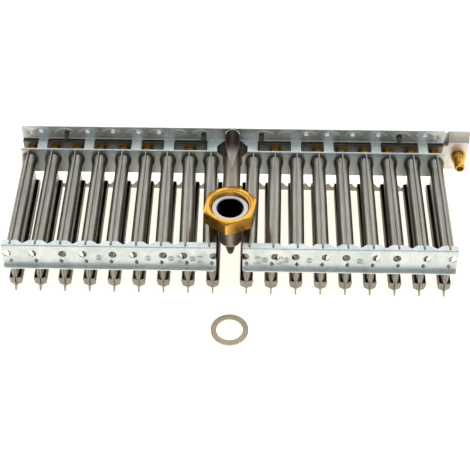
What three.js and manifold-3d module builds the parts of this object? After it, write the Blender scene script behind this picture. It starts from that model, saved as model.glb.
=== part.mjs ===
// Atmospheric gas burner assembly, laid upside down: mixing tubes on top, flame heads below.
// Millimetres, +Z up, the front brackets face -Y, and X = 0 is the centre plane of the gas inlet.
// The origin is the point on the ground under the middle of the whole assembly's footprint.
import * as THREE from 'three';
import { mergeVertices } from 'three/addons/utils/BufferGeometryUtils.js';
import Module from 'manifold-3d';

const wasm = await Module();
wasm.setup();

// Burner bars.
const BARS_PER_SIDE = 9;
const BAR_PITCH = 20;
const FIRST_BAR_X = 13.65;
const BAR_LENGTH = 109.6;
const SEAM_TOP = 47.2;
const SEAM_HALF = 0.5;
const TUBE_Z = 36.3;
const TUBE_RADIUS = 5.75;
const TUBE_WALL = 0.9;
const BELL_RADIUS = 7.2;
const NECK_HALF = 2.4;
const NECK_TOP = 31.1;
const SKIRT_HALF = 5;
const SKIRT_TOP = 11;
const SKIRT_WALL = 0.8;
const TROUGH_FLOOR = 6.5;
const ROOF_EDGE = 4;
const ROOF_CENTRE = 2;
const NOSE_Y = 3;
const BORE_FRONT_Y = 9;
const BELL_START_Y = 98.6;
const BELL_FLARE_Y = 104.6;
const BELL_END_Y = 109.2;
const BELL_BORE_Y = 100.6;
// The tube's radius at the nose, behind it, before the bell, in its flare and at its mouth.
const TUBE_SCALES = [0.72, 1, 1, 1.08, BELL_RADIUS / TUBE_RADIUS];
const NECK_WAY_LENGTH = 10;
const HEAD_WAY_HEIGHT = 6;
const HEAD_FRONT_Y = -3;
const KEEL_FRONT_Y = -7.2;
const TUBE_LEAN_FRONT = [2.2, 1.0, 0.2];
const TUBE_LEAN_REAR = [4.5, 3.0, 1.5];

// Sheet metal.
const SHEET = 1;
const GAP = 0.3;
const FRONT_INNER_X = 10.5;
const FRONT_OUTER_X = 180.2;
const FLANGE_DEPTH = 6;
const FACE_FOOT_Y = -3.3;
const FACE_FOOT_Z = 28.5;
const LIP_FRONT_Y = -7.2;
const ROUND_HOLE_RADIUS = 3.2;
const ROUND_HOLE_Z = 39.4;
const DIAMOND_Z = 32.4;
const DIAMOND_HALF_WIDTH = 1.9;
const DIAMOND_HALF_HEIGHT = 2.5;
// The round holes alternate about the bars: inwards on even steps from the inlet, outwards on odd.
const HOLE_SHIFT_EVEN = -1.2;
const HOLE_SHIFT_ODD = 2.5;
const NOTCH_HALF_WIDTH = 5;
const NOTCH_DEPTH = 3.4;
const REAR_HALF_LENGTH = 180.4;
const REAR_FOLD_Y = 109.6;
const WALL_Y = 124;
const WALL_TOP = 60.4;
const PLATE_BOTTOM = 21;
const BELL_OPENING = 8.1;
const STRIP_WINDOWS = [[21.5, 50], [58.5, 78], [86.2, 118.5], [126.5, 158.5], [166.5, 190]];
const WALL_HOLES = [62.8, 80.4, 102.2, 124.2, 163.8];
const WALL_HOLE_Z = 55;
const WALL_HOLE_RADIUS = 1.5;
const OCTAGON_HALF = 13;
const OCTAGON_NARROW = 7;
const OCTAGON_CORNER = 7;
const THROAT_CLEARANCE = 0.9;
const SCREW_PLACES = [-142, -24.7, 24.7, 142];
const SCREW_Z = 53;
const SCREW_RADIUS = 1.9;
const SCREW_HOLE_RADIUS = 2.4;
const SCREW_HEAD_RADIUS = 3.5;
const SCREW_HEAD_HEIGHT = 2.4;
const SCREW_POINT_Y = 115;
const SCREW_TIP_RADIUS = 0.6;
const SCREW_TAPER = 3;

// Gas manifold.
const MANIFOLD_RIGHT_X = 202;
const MANIFOLD_FACE_Y = 121.5;
const MANIFOLD_SHEET = 1.2;
const MANIFOLD_BOTTOM = 18.5;
const MANIFOLD_LEDGE_Z = 45.8;
const END_LEDGE_Z = 49.6;
const FRONT_FLANGE_TOP = 57;
const END_FLANGE_TOP = 59;
const REAR_FLANGE_TOP = 55.8;
// Both flanges are notched behind the wall's small holes, so daylight shows through them.
const FLANGE_NOTCH_HALF = 4;
const FLANGE_NOTCH_BOTTOM = 48;
const CHANNEL_DEPTH = 12;
const CHANNEL_LOW_Z = 24;
const CHANNEL_HIGH_Z = 47;
const CHANNEL_LEFT_MARGIN = 8;
const CHANNEL_RIGHT_MARGIN = 3;
const CHANNEL_WALL = 1.5;
const CHANNEL_BACK_WALL = 1.2;
const CHANNEL_SLOPE = 3;
const INJECTOR_HOLE = 2.8;
const INJECTOR_BORE = 0.7;
const INJECTOR_TIP_LENGTH = 8.6;
const INJECTOR_HEX_RADIUS = 5.4;

// Gas inlet.
const INLET_Y = 32;
const PIPE_Z = 39;
const PIPE_RADIUS = 7.3;
const PIPE_WALL = 1.1;
const PIPE_END_Y = 113;
const SPIGOT_RADIUS = 5.9;
const SADDLE_HALF = 6.2;
const SADDLE_TIP_Y = 87;
const SADDLE_FOLD_Y = 117.4;
const ELBOW_RADIUS = 10.2;
const ELBOW_BORE = 9.3;
const ELBOW_TOP = 55;
const ELBOW_BORE_BOTTOM = 30;
const NUB_BOTTOM = 6;
const NUB_RADIUS = 2.2;
const NUB_SHOULDER_Z = 11;
const NUB_SHOULDER_RADIUS = 4;
const SLEEVE_END = 20;
const SLEEVE_RADIUS = 8.4;
const ELBOW_FOOT_Z = 17.5;
const COLLAR_TOP = 60;
const COLLAR_BOTTOM = 54.3;
const COLLAR_RADIUS = 14.8;
const COLLAR_BORE = 10.5;
const NUT_BOTTOM = 51;
const NUT_TOP = 63.6;
const NUT_ACROSS_FLATS = 39.4;
const NUT_BORE = 15.2;
const NUT_FLOOR_TOP = 54;
const NUT_FLOOR_HOLE = 11;
const NUT_CHAMFER_RADIUS = 19.4;
const NUT_CHAMFER_DEPTH = 1.8;
const NUT_LEAD_IN = 1;
const NUT_TURN = THREE.MathUtils.degToRad(-8);
const GASKET_X = 1;
const GASKET_Y = -45;
const GASKET_OUTER = 15;
const GASKET_INNER = 10.5;
const GASKET_THICKNESS = 2;

// Test nipple.
const NIPPLE_X = 194.5;
const NIPPLE_Z = 34;
const NIPPLE_LENGTH = 15.5;
const NIPPLE_RADIUS = 4.5;
const NIPPLE_BORE = 2.7;
const NIPPLE_BASE_RADIUS = 6;
const NIPPLE_BASE_LENGTH = 3.4;
const NIPPLE_THREAD_RADIUS = 3;
const NIPPLE_SPIGOT = 3;
const NIPPLE_JET = 1.2;
const NIPPLE_BORE_DEPTH = 9.5;
const TEST_SCREW_RADIUS = 2.2;
const TEST_SCREW_CONE = 6.5;
const TEST_SCREW_LENGTH = 8.2;
const TEST_SCREW_INSET = 1;
const TEST_SLOT_HALF = 0.4;

// Rear comb.
const COMB_BOTTOM = 1.5;
const COMB_TOP = 5;
const TOOTH_TOP = 9.5;
const TOOTH_HALF = 4;

const MATERIALS = {
  bar: new THREE.MeshStandardMaterial({ color: 0x8f8d86, metalness: 0.9, roughness: 0.35 }),
  zinc: new THREE.MeshStandardMaterial({ color: 0xb9c4c8, metalness: 0.9, roughness: 0.4 }),
  manifold: new THREE.MeshStandardMaterial({ color: 0xa8a29a, metalness: 0.9, roughness: 0.45 }),
  pipe: new THREE.MeshStandardMaterial({ color: 0x8a7c6e, metalness: 0.85, roughness: 0.45 }),
  brass: new THREE.MeshStandardMaterial({ color: 0xd09a3c, metalness: 1, roughness: 0.3 }),
  screw: new THREE.MeshStandardMaterial({ color: 0x4a4c48, metalness: 0.9, roughness: 0.5 }),
  fibre: new THREE.MeshStandardMaterial({ color: 0xd6c8aa, metalness: 0, roughness: 0.9 }),
};

const assembly = new THREE.Group();

function toSolid(geometry) {
  const bare = geometry.index ? geometry.toNonIndexed() : geometry.clone();
  bare.deleteAttribute('normal');
  bare.deleteAttribute('uv');
  const merged = mergeVertices(bare, 1e-4);
  const vertProperties = Float32Array.from(merged.attributes.position.array);
  const triVerts = Uint32Array.from(merged.index.array);
  return new wasm.Manifold(new wasm.Mesh({ numProp: 3, vertProperties, triVerts }));
}

function toGeometry(solid) {
  const mesh = solid.getMesh();
  const positions = new Float32Array(mesh.numVert * 3);
  for (let i = 0; i < mesh.numVert; i += 1) {
    for (let axis = 0; axis < 3; axis += 1) {
      positions[i * 3 + axis] = mesh.vertProperties[i * mesh.numProp + axis];
    }
  }
  const geometry = new THREE.BufferGeometry();
  geometry.setAttribute('position', new THREE.BufferAttribute(positions, 3));
  geometry.setIndex(new THREE.BufferAttribute(Uint32Array.from(mesh.triVerts), 1));
  geometry.computeVertexNormals();
  return geometry;
}

function addPart(name, solid, material) {
  const mesh = new THREE.Mesh(toGeometry(solid), material);
  mesh.name = name;
  assembly.add(mesh);
  return mesh;
}

function joinAll(solids) {
  return solids.reduce((whole, solid) => whole.add(solid));
}

function cutAll(solid, cutters) {
  return cutters.reduce((rest, cutter) => rest.subtract(cutter), solid);
}

function box(x0, x1, y0, y1, z0, z1) {
  const geometry = new THREE.BoxGeometry(x1 - x0, y1 - y0, z1 - z0);
  geometry.translate((x0 + x1) / 2, (y0 + y1) / 2, (z0 + z1) / 2);
  return toSolid(geometry);
}

function shapeFrom(points) {
  return new THREE.Shape(points.map(([u, v]) => new THREE.Vector2(u, v)));
}

// A shape drawn in X and Z, given a thickness along Y.
function slabAlongY(shape, y0, y1) {
  const geometry = new THREE.ExtrudeGeometry(shape, { depth: y1 - y0, bevelEnabled: false });
  geometry.rotateX(Math.PI / 2);
  geometry.translate(0, y1, 0);
  return toSolid(geometry);
}

// A profile drawn in Y and Z, drawn out along X.
function profileAlongX(shape, x0, x1) {
  const geometry = new THREE.ExtrudeGeometry(shape, { depth: x1 - x0, bevelEnabled: false });
  const turn = new THREE.Matrix4().makeBasis(
    new THREE.Vector3(0, 1, 0),
    new THREE.Vector3(0, 0, 1),
    new THREE.Vector3(1, 0, 0),
  );
  geometry.applyMatrix4(turn);
  geometry.translate(x0, 0, 0);
  return toSolid(geometry);
}

// A shape drawn in X and Y, given a thickness along Z.
function slabAlongZ(shape, z0, z1) {
  const geometry = new THREE.ExtrudeGeometry(shape, { depth: z1 - z0, bevelEnabled: false });
  geometry.translate(0, 0, z0);
  return toSolid(geometry);
}

// A turned piece: profile points are [radius, height], the axis is vertical until it is moved.
function turned(profile, segments) {
  const points = profile.map(([radius, height]) => new THREE.Vector2(radius, height));
  const geometry = new THREE.LatheGeometry(points, segments);
  geometry.rotateX(Math.PI / 2);
  return geometry;
}

function turnedUpright(profile, x, y, segments) {
  const geometry = turned(profile, segments);
  geometry.translate(x, y, 0);
  return toSolid(geometry);
}

// The same with its axis along Y: heights are measured backwards from y.
function turnedAlongY(profile, x, y, z, segments) {
  const geometry = turned(profile, segments);
  geometry.rotateX(-Math.PI / 2);
  geometry.translate(x, y, z);
  return toSolid(geometry);
}

function pinAlongY(radius, x, z, y0, y1, segments) {
  const length = y1 - y0;
  return turnedAlongY([[0, 0], [radius, 0], [radius, length], [0, length]], x, y0, z, segments);
}

// A bent sheet seen end on: the line of one face, closed by the same line one thickness away.
function sheetProfile(line, thickness) {
  const normals = [];
  for (let i = 0; i + 1 < line.length; i += 1) {
    const along = new THREE.Vector2(line[i + 1][0] - line[i][0], line[i + 1][1] - line[i][1]);
    along.normalize();
    normals.push(new THREE.Vector2(-along.y, along.x));
  }
  const offset = line.map(([u, v], i) => {
    const before = normals[Math.max(i - 1, 0)];
    const after = normals[Math.min(i, normals.length - 1)];
    const mitre = before.clone().add(after);
    mitre.multiplyScalar(thickness / (mitre.lengthSq() / 2));
    return [u + mitre.x, v + mitre.y];
  });
  return shapeFrom([...line, ...offset.reverse()]);
}

function barX(index) {
  const step = index < BARS_PER_SIDE ? BARS_PER_SIDE - 1 - index : index - BARS_PER_SIDE;
  const side = index < BARS_PER_SIDE ? -1 : 1;
  return { step, side, x: side * (FIRST_BAR_X + BAR_PITCH * step) };
}

// The innermost tubes lean away from the inlet pipe, more at the rear than at the front.
function tubeLean(index, y) {
  const { step, side } = barX(index);
  const front = TUBE_LEAN_FRONT[step] ?? 0;
  const rear = TUBE_LEAN_REAR[step] ?? 0;
  return side * THREE.MathUtils.lerp(front, rear, y / BAR_LENGTH);
}

function leanAt(index, y, z) {
  const share = THREE.MathUtils.clamp((z - SKIRT_TOP) / (TUBE_Z - SKIRT_TOP), 0, 1);
  return tubeLean(index, y) * share;
}

// Half of a bar's cross-section, from the top seam round the tube, neck and skirt to the keel.
function barHalfOutline() {
  const points = [[SEAM_HALF, SEAM_TOP]];
  const seamAngle = Math.acos(SEAM_HALF / TUBE_RADIUS);
  const neckAngle = Math.asin((NECK_TOP - TUBE_Z) / TUBE_RADIUS);
  const facets = 5;
  for (let i = 0; i <= facets; i += 1) {
    const angle = THREE.MathUtils.lerp(seamAngle, neckAngle, i / facets);
    points.push([TUBE_RADIUS * Math.cos(angle), TUBE_Z + TUBE_RADIUS * Math.sin(angle)]);
  }
  points.push([NECK_HALF, TROUGH_FLOOR]);
  points.push([SKIRT_HALF - SKIRT_WALL, TROUGH_FLOOR]);
  points.push([SKIRT_HALF - SKIRT_WALL, SKIRT_TOP]);
  points.push([SKIRT_HALF, SKIRT_TOP]);
  points.push([SKIRT_HALF, ROOF_EDGE]);
  points.push([SEAM_HALF, ROOF_CENTRE]);
  points.push([SEAM_HALF, 0]);
  return points;
}

function isTubePoint(x, z) {
  return z > NECK_TOP - 0.5 && z < SEAM_TOP - 0.5 && Math.abs(x) > 0.1;
}

// Where a bar ends at the front, for a point of its cross-section.
function frontY(x, z) {
  if (z < ROOF_EDGE - 1) {
    return KEEL_FRONT_Y;
  }
  if (z > SEAM_TOP - 1) {
    return SHEET + 2 * GAP;
  }
  return z > FACE_FOOT_Z ? NOSE_Y : HEAD_FRONT_Y;
}

// The tube is domed at its nose and opens into a bell at its mouth.
function barShell(index) {
  const half = barHalfOutline();
  const mirrored = half.map(([x, z]) => [-x, z]).reverse();
  const outline = shapeFrom([...half, ...mirrored]);
  const stations = [null, BORE_FRONT_Y, BELL_START_Y, BELL_FLARE_Y, BELL_END_Y];
  const steps = stations.length - 1;
  const geometry = new THREE.ExtrudeGeometry(outline, { depth: 1, steps, bevelEnabled: false });
  const position = geometry.attributes.position;
  const { x: centre } = barX(index);
  for (let i = 0; i < position.count; i += 1) {
    const x = position.getX(i);
    const z = position.getY(i);
    const station = Math.round(position.getZ(i) * steps);
    const y = station === 0 ? frontY(x, z) : stations[station];
    const scale = isTubePoint(x, z) ? TUBE_SCALES[station] : 1;
    const newX = centre + leanAt(index, y, z) + x * scale;
    const newZ = Math.min(TUBE_Z + (z - TUBE_Z) * scale, Math.max(z, SEAM_TOP - 0.4));
    position.setXYZ(i, newX, y, newZ);
  }
  return toSolid(flipped(geometry));
}

// Reading the shape's Y as height mirrors the solid, so its triangles are turned over.
function flipped(geometry) {
  const bare = geometry.index ? geometry.toNonIndexed() : geometry;
  const position = bare.attributes.position;
  for (let i = 0; i < position.count; i += 3) {
    const second = new THREE.Vector3().fromBufferAttribute(position, i + 1);
    const third = new THREE.Vector3().fromBufferAttribute(position, i + 2);
    position.setXYZ(i + 1, third.x, third.y, third.z);
    position.setXYZ(i + 2, second.x, second.y, second.z);
  }
  return bare;
}

function leaned(geometry, index) {
  const position = geometry.attributes.position;
  for (let i = 0; i < position.count; i += 1) {
    const lean = leanAt(index, position.getY(i), position.getZ(i));
    position.setX(i, position.getX(i) + lean + barX(index).x);
  }
  return toSolid(geometry);
}

// The gas way inside a bar: in at the bell, forward to the nose, down the neck, back in the head.
function barHollow(index) {
  const boreRadius = TUBE_RADIUS - TUBE_WALL;
  const profile = [
    [0, BORE_FRONT_Y],
    [boreRadius, BORE_FRONT_Y],
    [boreRadius, BELL_BORE_Y],
    [BELL_RADIUS - TUBE_WALL, BAR_LENGTH + 1],
    [0, BAR_LENGTH + 1],
  ];
  const bore = turned(profile, 10);
  bore.rotateX(-Math.PI / 2);
  bore.translate(0, 0, TUBE_Z);
  const slotHalf = NECK_HALF - SKIRT_WALL;
  const neckHeight = TUBE_Z - TROUGH_FLOOR;
  const neck = new THREE.BoxGeometry(2 * slotHalf, NECK_WAY_LENGTH, neckHeight);
  neck.translate(0, BORE_FRONT_Y + NECK_WAY_LENGTH / 2, TROUGH_FLOOR + neckHeight / 2);
  const headLength = BELL_BORE_Y - BORE_FRONT_Y;
  const head = new THREE.BoxGeometry(2 * slotHalf, headLength, HEAD_WAY_HEIGHT);
  head.translate(0, BORE_FRONT_Y + headLength / 2, TROUGH_FLOOR + 1);
  return joinAll([leaned(bore, index), leaned(neck, index), leaned(head, index)]);
}

function buildBars() {
  for (let index = 0; index < 2 * BARS_PER_SIDE; index += 1) {
    const number = String(index + 1).padStart(2, '0');
    const solid = barShell(index).subtract(barHollow(index));
    addPart(`burner_bar_${number}`, solid, MATERIALS.bar);
  }
}

// A front bracket: slotted top flange, leaning face with round and diamond holes, and a lip.
function frontBracket(side) {
  const line = [
    [FLANGE_DEPTH, SEAM_TOP],
    [0, SEAM_TOP],
    [FACE_FOOT_Y, FACE_FOOT_Z],
    [LIP_FRONT_Y, FACE_FOOT_Z],
  ];
  const x0 = side < 0 ? -FRONT_OUTER_X : FRONT_INNER_X;
  const x1 = side < 0 ? -FRONT_INNER_X : FRONT_OUTER_X;
  const sheet = profileAlongX(sheetProfile(line, SHEET), x0, x1);
  const cutters = [];
  for (let step = 0; step < BARS_PER_SIDE; step += 1) {
    const index = side < 0 ? BARS_PER_SIDE - 1 - step : BARS_PER_SIDE + step;
    cutters.push(...frontCutters(index));
  }
  return cutAll(sheet, cutters);
}

function frontCutters(index) {
  const { step, side, x } = barX(index);
  const seamX = x + tubeLean(index, NOSE_Y);
  const slotHalf = SEAM_HALF + GAP;
  const below = SEAM_TOP - 2 * SHEET;
  const above = SEAM_TOP + SHEET;
  const slot = box(seamX - slotHalf, seamX + slotHalf, SHEET + GAP, FLANGE_DEPTH + 1, below, above);
  const inwards = step % 2 === 0 && step < BARS_PER_SIDE - 1;
  const holeX = x + side * (inwards ? HOLE_SHIFT_EVEN : HOLE_SHIFT_ODD);
  const front = FACE_FOOT_Y - SHEET;
  const hole = pinAlongY(ROUND_HOLE_RADIUS, holeX, ROUND_HOLE_Z, front, NOSE_Y, 12);
  const diamond = shapeFrom([
    [x - DIAMOND_HALF_WIDTH, DIAMOND_Z],
    [x, DIAMOND_Z - DIAMOND_HALF_HEIGHT],
    [x + DIAMOND_HALF_WIDTH, DIAMOND_Z],
    [x, DIAMOND_Z + DIAMOND_HALF_HEIGHT],
  ]);
  const cutters = [slot, hole, slabAlongY(diamond, front, NOSE_Y)];
  if (step > 1) {
    const middle = x - (side * BAR_PITCH) / 2;
    const notch = shapeFrom([
      [middle - NOTCH_HALF_WIDTH, FLANGE_DEPTH + 0.1],
      [middle, FLANGE_DEPTH - NOTCH_DEPTH],
      [middle + NOTCH_HALF_WIDTH, FLANGE_DEPTH + 0.1],
    ]);
    cutters.push(slabAlongZ(notch, below, above));
  }
  return cutters;
}

function buildFrontBrackets() {
  addPart('front_bracket_left', frontBracket(-1), MATERIALS.zinc);
  addPart('front_bracket_right', frontBracket(1), MATERIALS.zinc);
}

// The pipe's way through the strip and the bell plate: an octagon folded over the bend.
function pipeOpening() {
  const throat = PIPE_RADIUS + THROAT_CLEARANCE;
  const cornerY = WALL_Y - OCTAGON_CORNER;
  const strip = shapeFrom([
    [-OCTAGON_HALF, REAR_FOLD_Y - SHEET],
    [OCTAGON_HALF, REAR_FOLD_Y - SHEET],
    [OCTAGON_HALF, cornerY],
    [OCTAGON_NARROW, WALL_Y],
    [-OCTAGON_NARROW, WALL_Y],
    [-OCTAGON_HALF, cornerY],
  ]);
  const shoulderZ = SEAM_TOP - SHEET;
  const throatZ = shoulderZ - OCTAGON_HALF + throat;
  const plate = shapeFrom([
    [-OCTAGON_HALF, SEAM_TOP + SHEET],
    [-OCTAGON_HALF, shoulderZ],
    [-throat, throatZ],
    [-throat, PIPE_Z - throat],
    [throat, PIPE_Z - throat],
    [throat, throatZ],
    [OCTAGON_HALF, shoulderZ],
    [OCTAGON_HALF, SEAM_TOP + SHEET],
  ]);
  return [
    slabAlongZ(strip, SEAM_TOP - 2 * SHEET, SEAM_TOP + SHEET),
    slabAlongY(plate, REAR_FOLD_Y - SHEET, REAR_FOLD_Y + 2 * SHEET),
  ];
}

// The holes for the rail screws through a sheet whose front face is at y.
function screwHoles(y) {
  return SCREW_PLACES.map((x) => pinAlongY(SCREW_HOLE_RADIUS, x, SCREW_Z, y - SHEET, y + 2 * SHEET, 10));
}

// The notches in a manifold flange whose front face is at y.
function flangeNotches(y, top) {
  const notches = [];
  for (const side of [-1, 1]) {
    for (const place of WALL_HOLES) {
      const x0 = side * place - FLANGE_NOTCH_HALF;
      const x1 = side * place + FLANGE_NOTCH_HALF;
      notches.push(box(x0, x1, y - GAP / 2, y + 2 * SHEET, FLANGE_NOTCH_BOTTOM, top + SHEET));
    }
  }
  return notches;
}

// The bell plate stands behind the bars, with a round opening for each bell.
function buildBellPlate() {
  const line = [
    [REAR_FOLD_Y, PLATE_BOTTOM],
    [REAR_FOLD_Y, SEAM_TOP],
  ];
  const sheet = profileAlongX(sheetProfile(line, -SHEET), -REAR_HALF_LENGTH, REAR_HALF_LENGTH);
  const y0 = REAR_FOLD_Y - SHEET;
  const y1 = REAR_FOLD_Y + 2 * SHEET;
  const cutters = pipeOpening();
  for (let index = 0; index < 2 * BARS_PER_SIDE; index += 1) {
    const x = barX(index).x + tubeLean(index, BAR_LENGTH);
    cutters.push(pinAlongY(BELL_OPENING, x, TUBE_Z, y0, y1, 14));
  }
  addPart('bell_plate', cutAll(sheet, cutters), MATERIALS.zinc);
}

// The rear bracket: a strip of tongues between windows, and the vertical wall that they grow from.
function buildRearBracket() {
  const line = [
    [REAR_FOLD_Y + SHEET + GAP, SEAM_TOP],
    [WALL_Y, SEAM_TOP],
    [WALL_Y, WALL_TOP],
  ];
  const sheet = profileAlongX(sheetProfile(line, -SHEET), -REAR_HALF_LENGTH, REAR_HALF_LENGTH);
  const cutters = [...screwHoles(WALL_Y), ...pipeOpening()];
  for (const side of [-1, 1]) {
    for (const [near, far] of STRIP_WINDOWS) {
      const x0 = Math.min(side * near, side * far);
      const x1 = Math.max(side * near, side * far);
      cutters.push(box(x0, x1, REAR_FOLD_Y, WALL_Y - GAP, SEAM_TOP - 2 * SHEET, SEAM_TOP + SHEET));
    }
    for (const x of WALL_HOLES) {
      const y1 = WALL_Y + 2 * SHEET;
      cutters.push(pinAlongY(WALL_HOLE_RADIUS, side * x, WALL_HOLE_Z, WALL_Y - SHEET, y1, 8));
    }
  }
  addPart('rear_bracket', cutAll(sheet, cutters), MATERIALS.zinc);
}

// The front shell of the gas manifold: flange behind the wall, a ledge, and the injector face.
function buildManifoldFront() {
  const flangeY = WALL_Y + SHEET + GAP;
  const main = [
    [MANIFOLD_FACE_Y, MANIFOLD_BOTTOM],
    [MANIFOLD_FACE_Y, MANIFOLD_LEDGE_Z],
    [flangeY, MANIFOLD_LEDGE_Z],
    [flangeY, FRONT_FLANGE_TOP],
  ];
  const end = [
    [MANIFOLD_FACE_Y, MANIFOLD_BOTTOM],
    [MANIFOLD_FACE_Y, END_LEDGE_Z],
    [flangeY, END_LEDGE_Z + flangeY - MANIFOLD_FACE_Y],
    [flangeY, END_FLANGE_TOP],
  ];
  const endX = REAR_HALF_LENGTH + GAP;
  const mainSheet = profileAlongX(sheetProfile(main, -MANIFOLD_SHEET), -REAR_HALF_LENGTH, endX + 1);
  const endSheet = profileAlongX(sheetProfile(end, -MANIFOLD_SHEET), endX, MANIFOLD_RIGHT_X);
  const web = box(endX, endX + 1, MANIFOLD_FACE_Y, flangeY + 1, MANIFOLD_LEDGE_Z - 1, END_LEDGE_Z);
  const cutters = [...screwHoles(flangeY), ...flangeNotches(flangeY, FRONT_FLANGE_TOP)];
  const y0 = MANIFOLD_FACE_Y - SHEET;
  const y1 = MANIFOLD_FACE_Y + 3 * SHEET;
  for (let index = 0; index < 2 * BARS_PER_SIDE; index += 1) {
    const x = barX(index).x + tubeLean(index, BAR_LENGTH);
    cutters.push(pinAlongY(INJECTOR_HOLE, x, TUBE_Z, y0, y1, 8));
  }
  cutters.push(pinAlongY(SPIGOT_RADIUS + GAP, 0, PIPE_Z, y0, y1, 18));
  cutters.push(pinAlongY(NIPPLE_THREAD_RADIUS + GAP, NIPPLE_X, NIPPLE_Z, y0, y1, 16));
  const solid = cutAll(joinAll([mainSheet, endSheet, web]), cutters);
  addPart('manifold_front_shell', solid, MATERIALS.manifold);
}

// The rear shell is a long pressed dish that closes the gas channel from behind.
function buildManifoldRear() {
  const y0 = WALL_Y + SHEET + GAP + MANIFOLD_SHEET + GAP;
  const y1 = y0 + MANIFOLD_SHEET;
  const plate = box(-REAR_HALF_LENGTH, MANIFOLD_RIGHT_X, y0, y1, MANIFOLD_BOTTOM, REAR_FLANGE_TOP);
  const dish = dishSolid(0, y0, CHANNEL_DEPTH);
  const inside = dishSolid(CHANNEL_WALL, y0 - GAP, CHANNEL_DEPTH + GAP - CHANNEL_BACK_WALL);
  const cutters = [inside, ...screwHoles(y0), ...flangeNotches(y0, REAR_FLANGE_TOP)];
  const solid = cutAll(plate.add(dish), cutters);
  addPart('manifold_rear_shell', solid, MATERIALS.manifold);
}

// The channel's block with sloping ends and sides, narrower at the back, drawn in by a margin.
function dishSolid(margin, y0, depth) {
  const x0 = -REAR_HALF_LENGTH + CHANNEL_LEFT_MARGIN + margin;
  const x1 = MANIFOLD_RIGHT_X - CHANNEL_RIGHT_MARGIN - margin;
  const z0 = CHANNEL_LOW_Z + margin;
  const z1 = CHANNEL_HIGH_Z - margin;
  const geometry = new THREE.BoxGeometry(x1 - x0, depth, z1 - z0);
  geometry.translate((x0 + x1) / 2, y0 + depth / 2, (z0 + z1) / 2);
  const position = geometry.attributes.position;
  for (let i = 0; i < position.count; i += 1) {
    if (position.getY(i) > y0 + depth / 2) {
      const x = position.getX(i);
      const z = position.getZ(i);
      position.setX(i, x < (x0 + x1) / 2 ? x + CHANNEL_SLOPE : x - CHANNEL_SLOPE);
      position.setZ(i, z < (z0 + z1) / 2 ? z + CHANNEL_SLOPE : z - CHANNEL_SLOPE);
    }
  }
  return toSolid(geometry);
}

// Brass injector: screwed spigot through the face, hexagon, and tapered jet towards the bell.
function buildInjectors() {
  const spigot = INJECTOR_HOLE - GAP;
  const nose = spigot - SHEET / 2;
  const hexFront = -5;
  const profile = [
    [INJECTOR_BORE, -INJECTOR_TIP_LENGTH],
    [nose, -INJECTOR_TIP_LENGTH],
    [spigot, hexFront],
    [INJECTOR_HEX_RADIUS, hexFront],
    [INJECTOR_HEX_RADIUS, -GAP],
    [spigot, -GAP],
    [spigot, 3],
    [INJECTOR_BORE, 3],
    [INJECTOR_BORE, -INJECTOR_TIP_LENGTH],
  ];
  for (let index = 0; index < 2 * BARS_PER_SIDE; index += 1) {
    const number = String(index + 1).padStart(2, '0');
    const x = barX(index).x + tubeLean(index, BAR_LENGTH);
    const solid = turnedAlongY(profile, x, MANIFOLD_FACE_Y, TUBE_Z, 6);
    addPart(`injector_${number}`, solid, MATERIALS.brass);
  }
}

// The supply pipe swages down behind the bell plate and enters the manifold face.
function buildGasPipe() {
  const start = INLET_Y + ELBOW_RADIUS + 1.2;
  const end = MANIFOLD_FACE_Y + 2.5;
  const profile = [
    [PIPE_RADIUS - PIPE_WALL, start],
    [PIPE_RADIUS, start],
    [PIPE_RADIUS, PIPE_END_Y],
    [SPIGOT_RADIUS, PIPE_END_Y + 2],
    [SPIGOT_RADIUS, end],
    [SPIGOT_RADIUS - PIPE_WALL, end],
    [SPIGOT_RADIUS - PIPE_WALL, PIPE_END_Y + 2],
    [PIPE_RADIUS - PIPE_WALL, PIPE_END_Y],
    [PIPE_RADIUS - PIPE_WALL, start],
  ];
  addPart('gas_pipe', turnedAlongY(profile, 0, 0, PIPE_Z, 18), MATERIALS.pipe);
}

// The saddle: a pointed tongue on the pipe, folded up into an open channel against the wall.
function buildPipeSaddle() {
  const base = PIPE_Z + PIPE_RADIUS + GAP;
  const depth = WALL_Y - GAP - SADDLE_FOLD_Y;
  const arc = (shrink) => {
    const segments = 6;
    const points = [];
    for (let i = 0; i <= segments; i += 1) {
      const angle = (Math.PI * i) / segments;
      const y = SADDLE_FOLD_Y + (depth - shrink) * Math.sin(angle);
      points.push([(SADDLE_HALF - shrink) * Math.cos(angle), y]);
    }
    return points;
  };
  const tongue = slabAlongZ(shapeFrom([[0, SADDLE_TIP_Y], ...arc(0)]), base, base + SHEET);
  const channel = slabAlongZ(shapeFrom([...arc(0), ...arc(SHEET).reverse()]), base, WALL_TOP);
  addPart('pipe_saddle', tongue.add(channel), MATERIALS.pipe);
}

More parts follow.
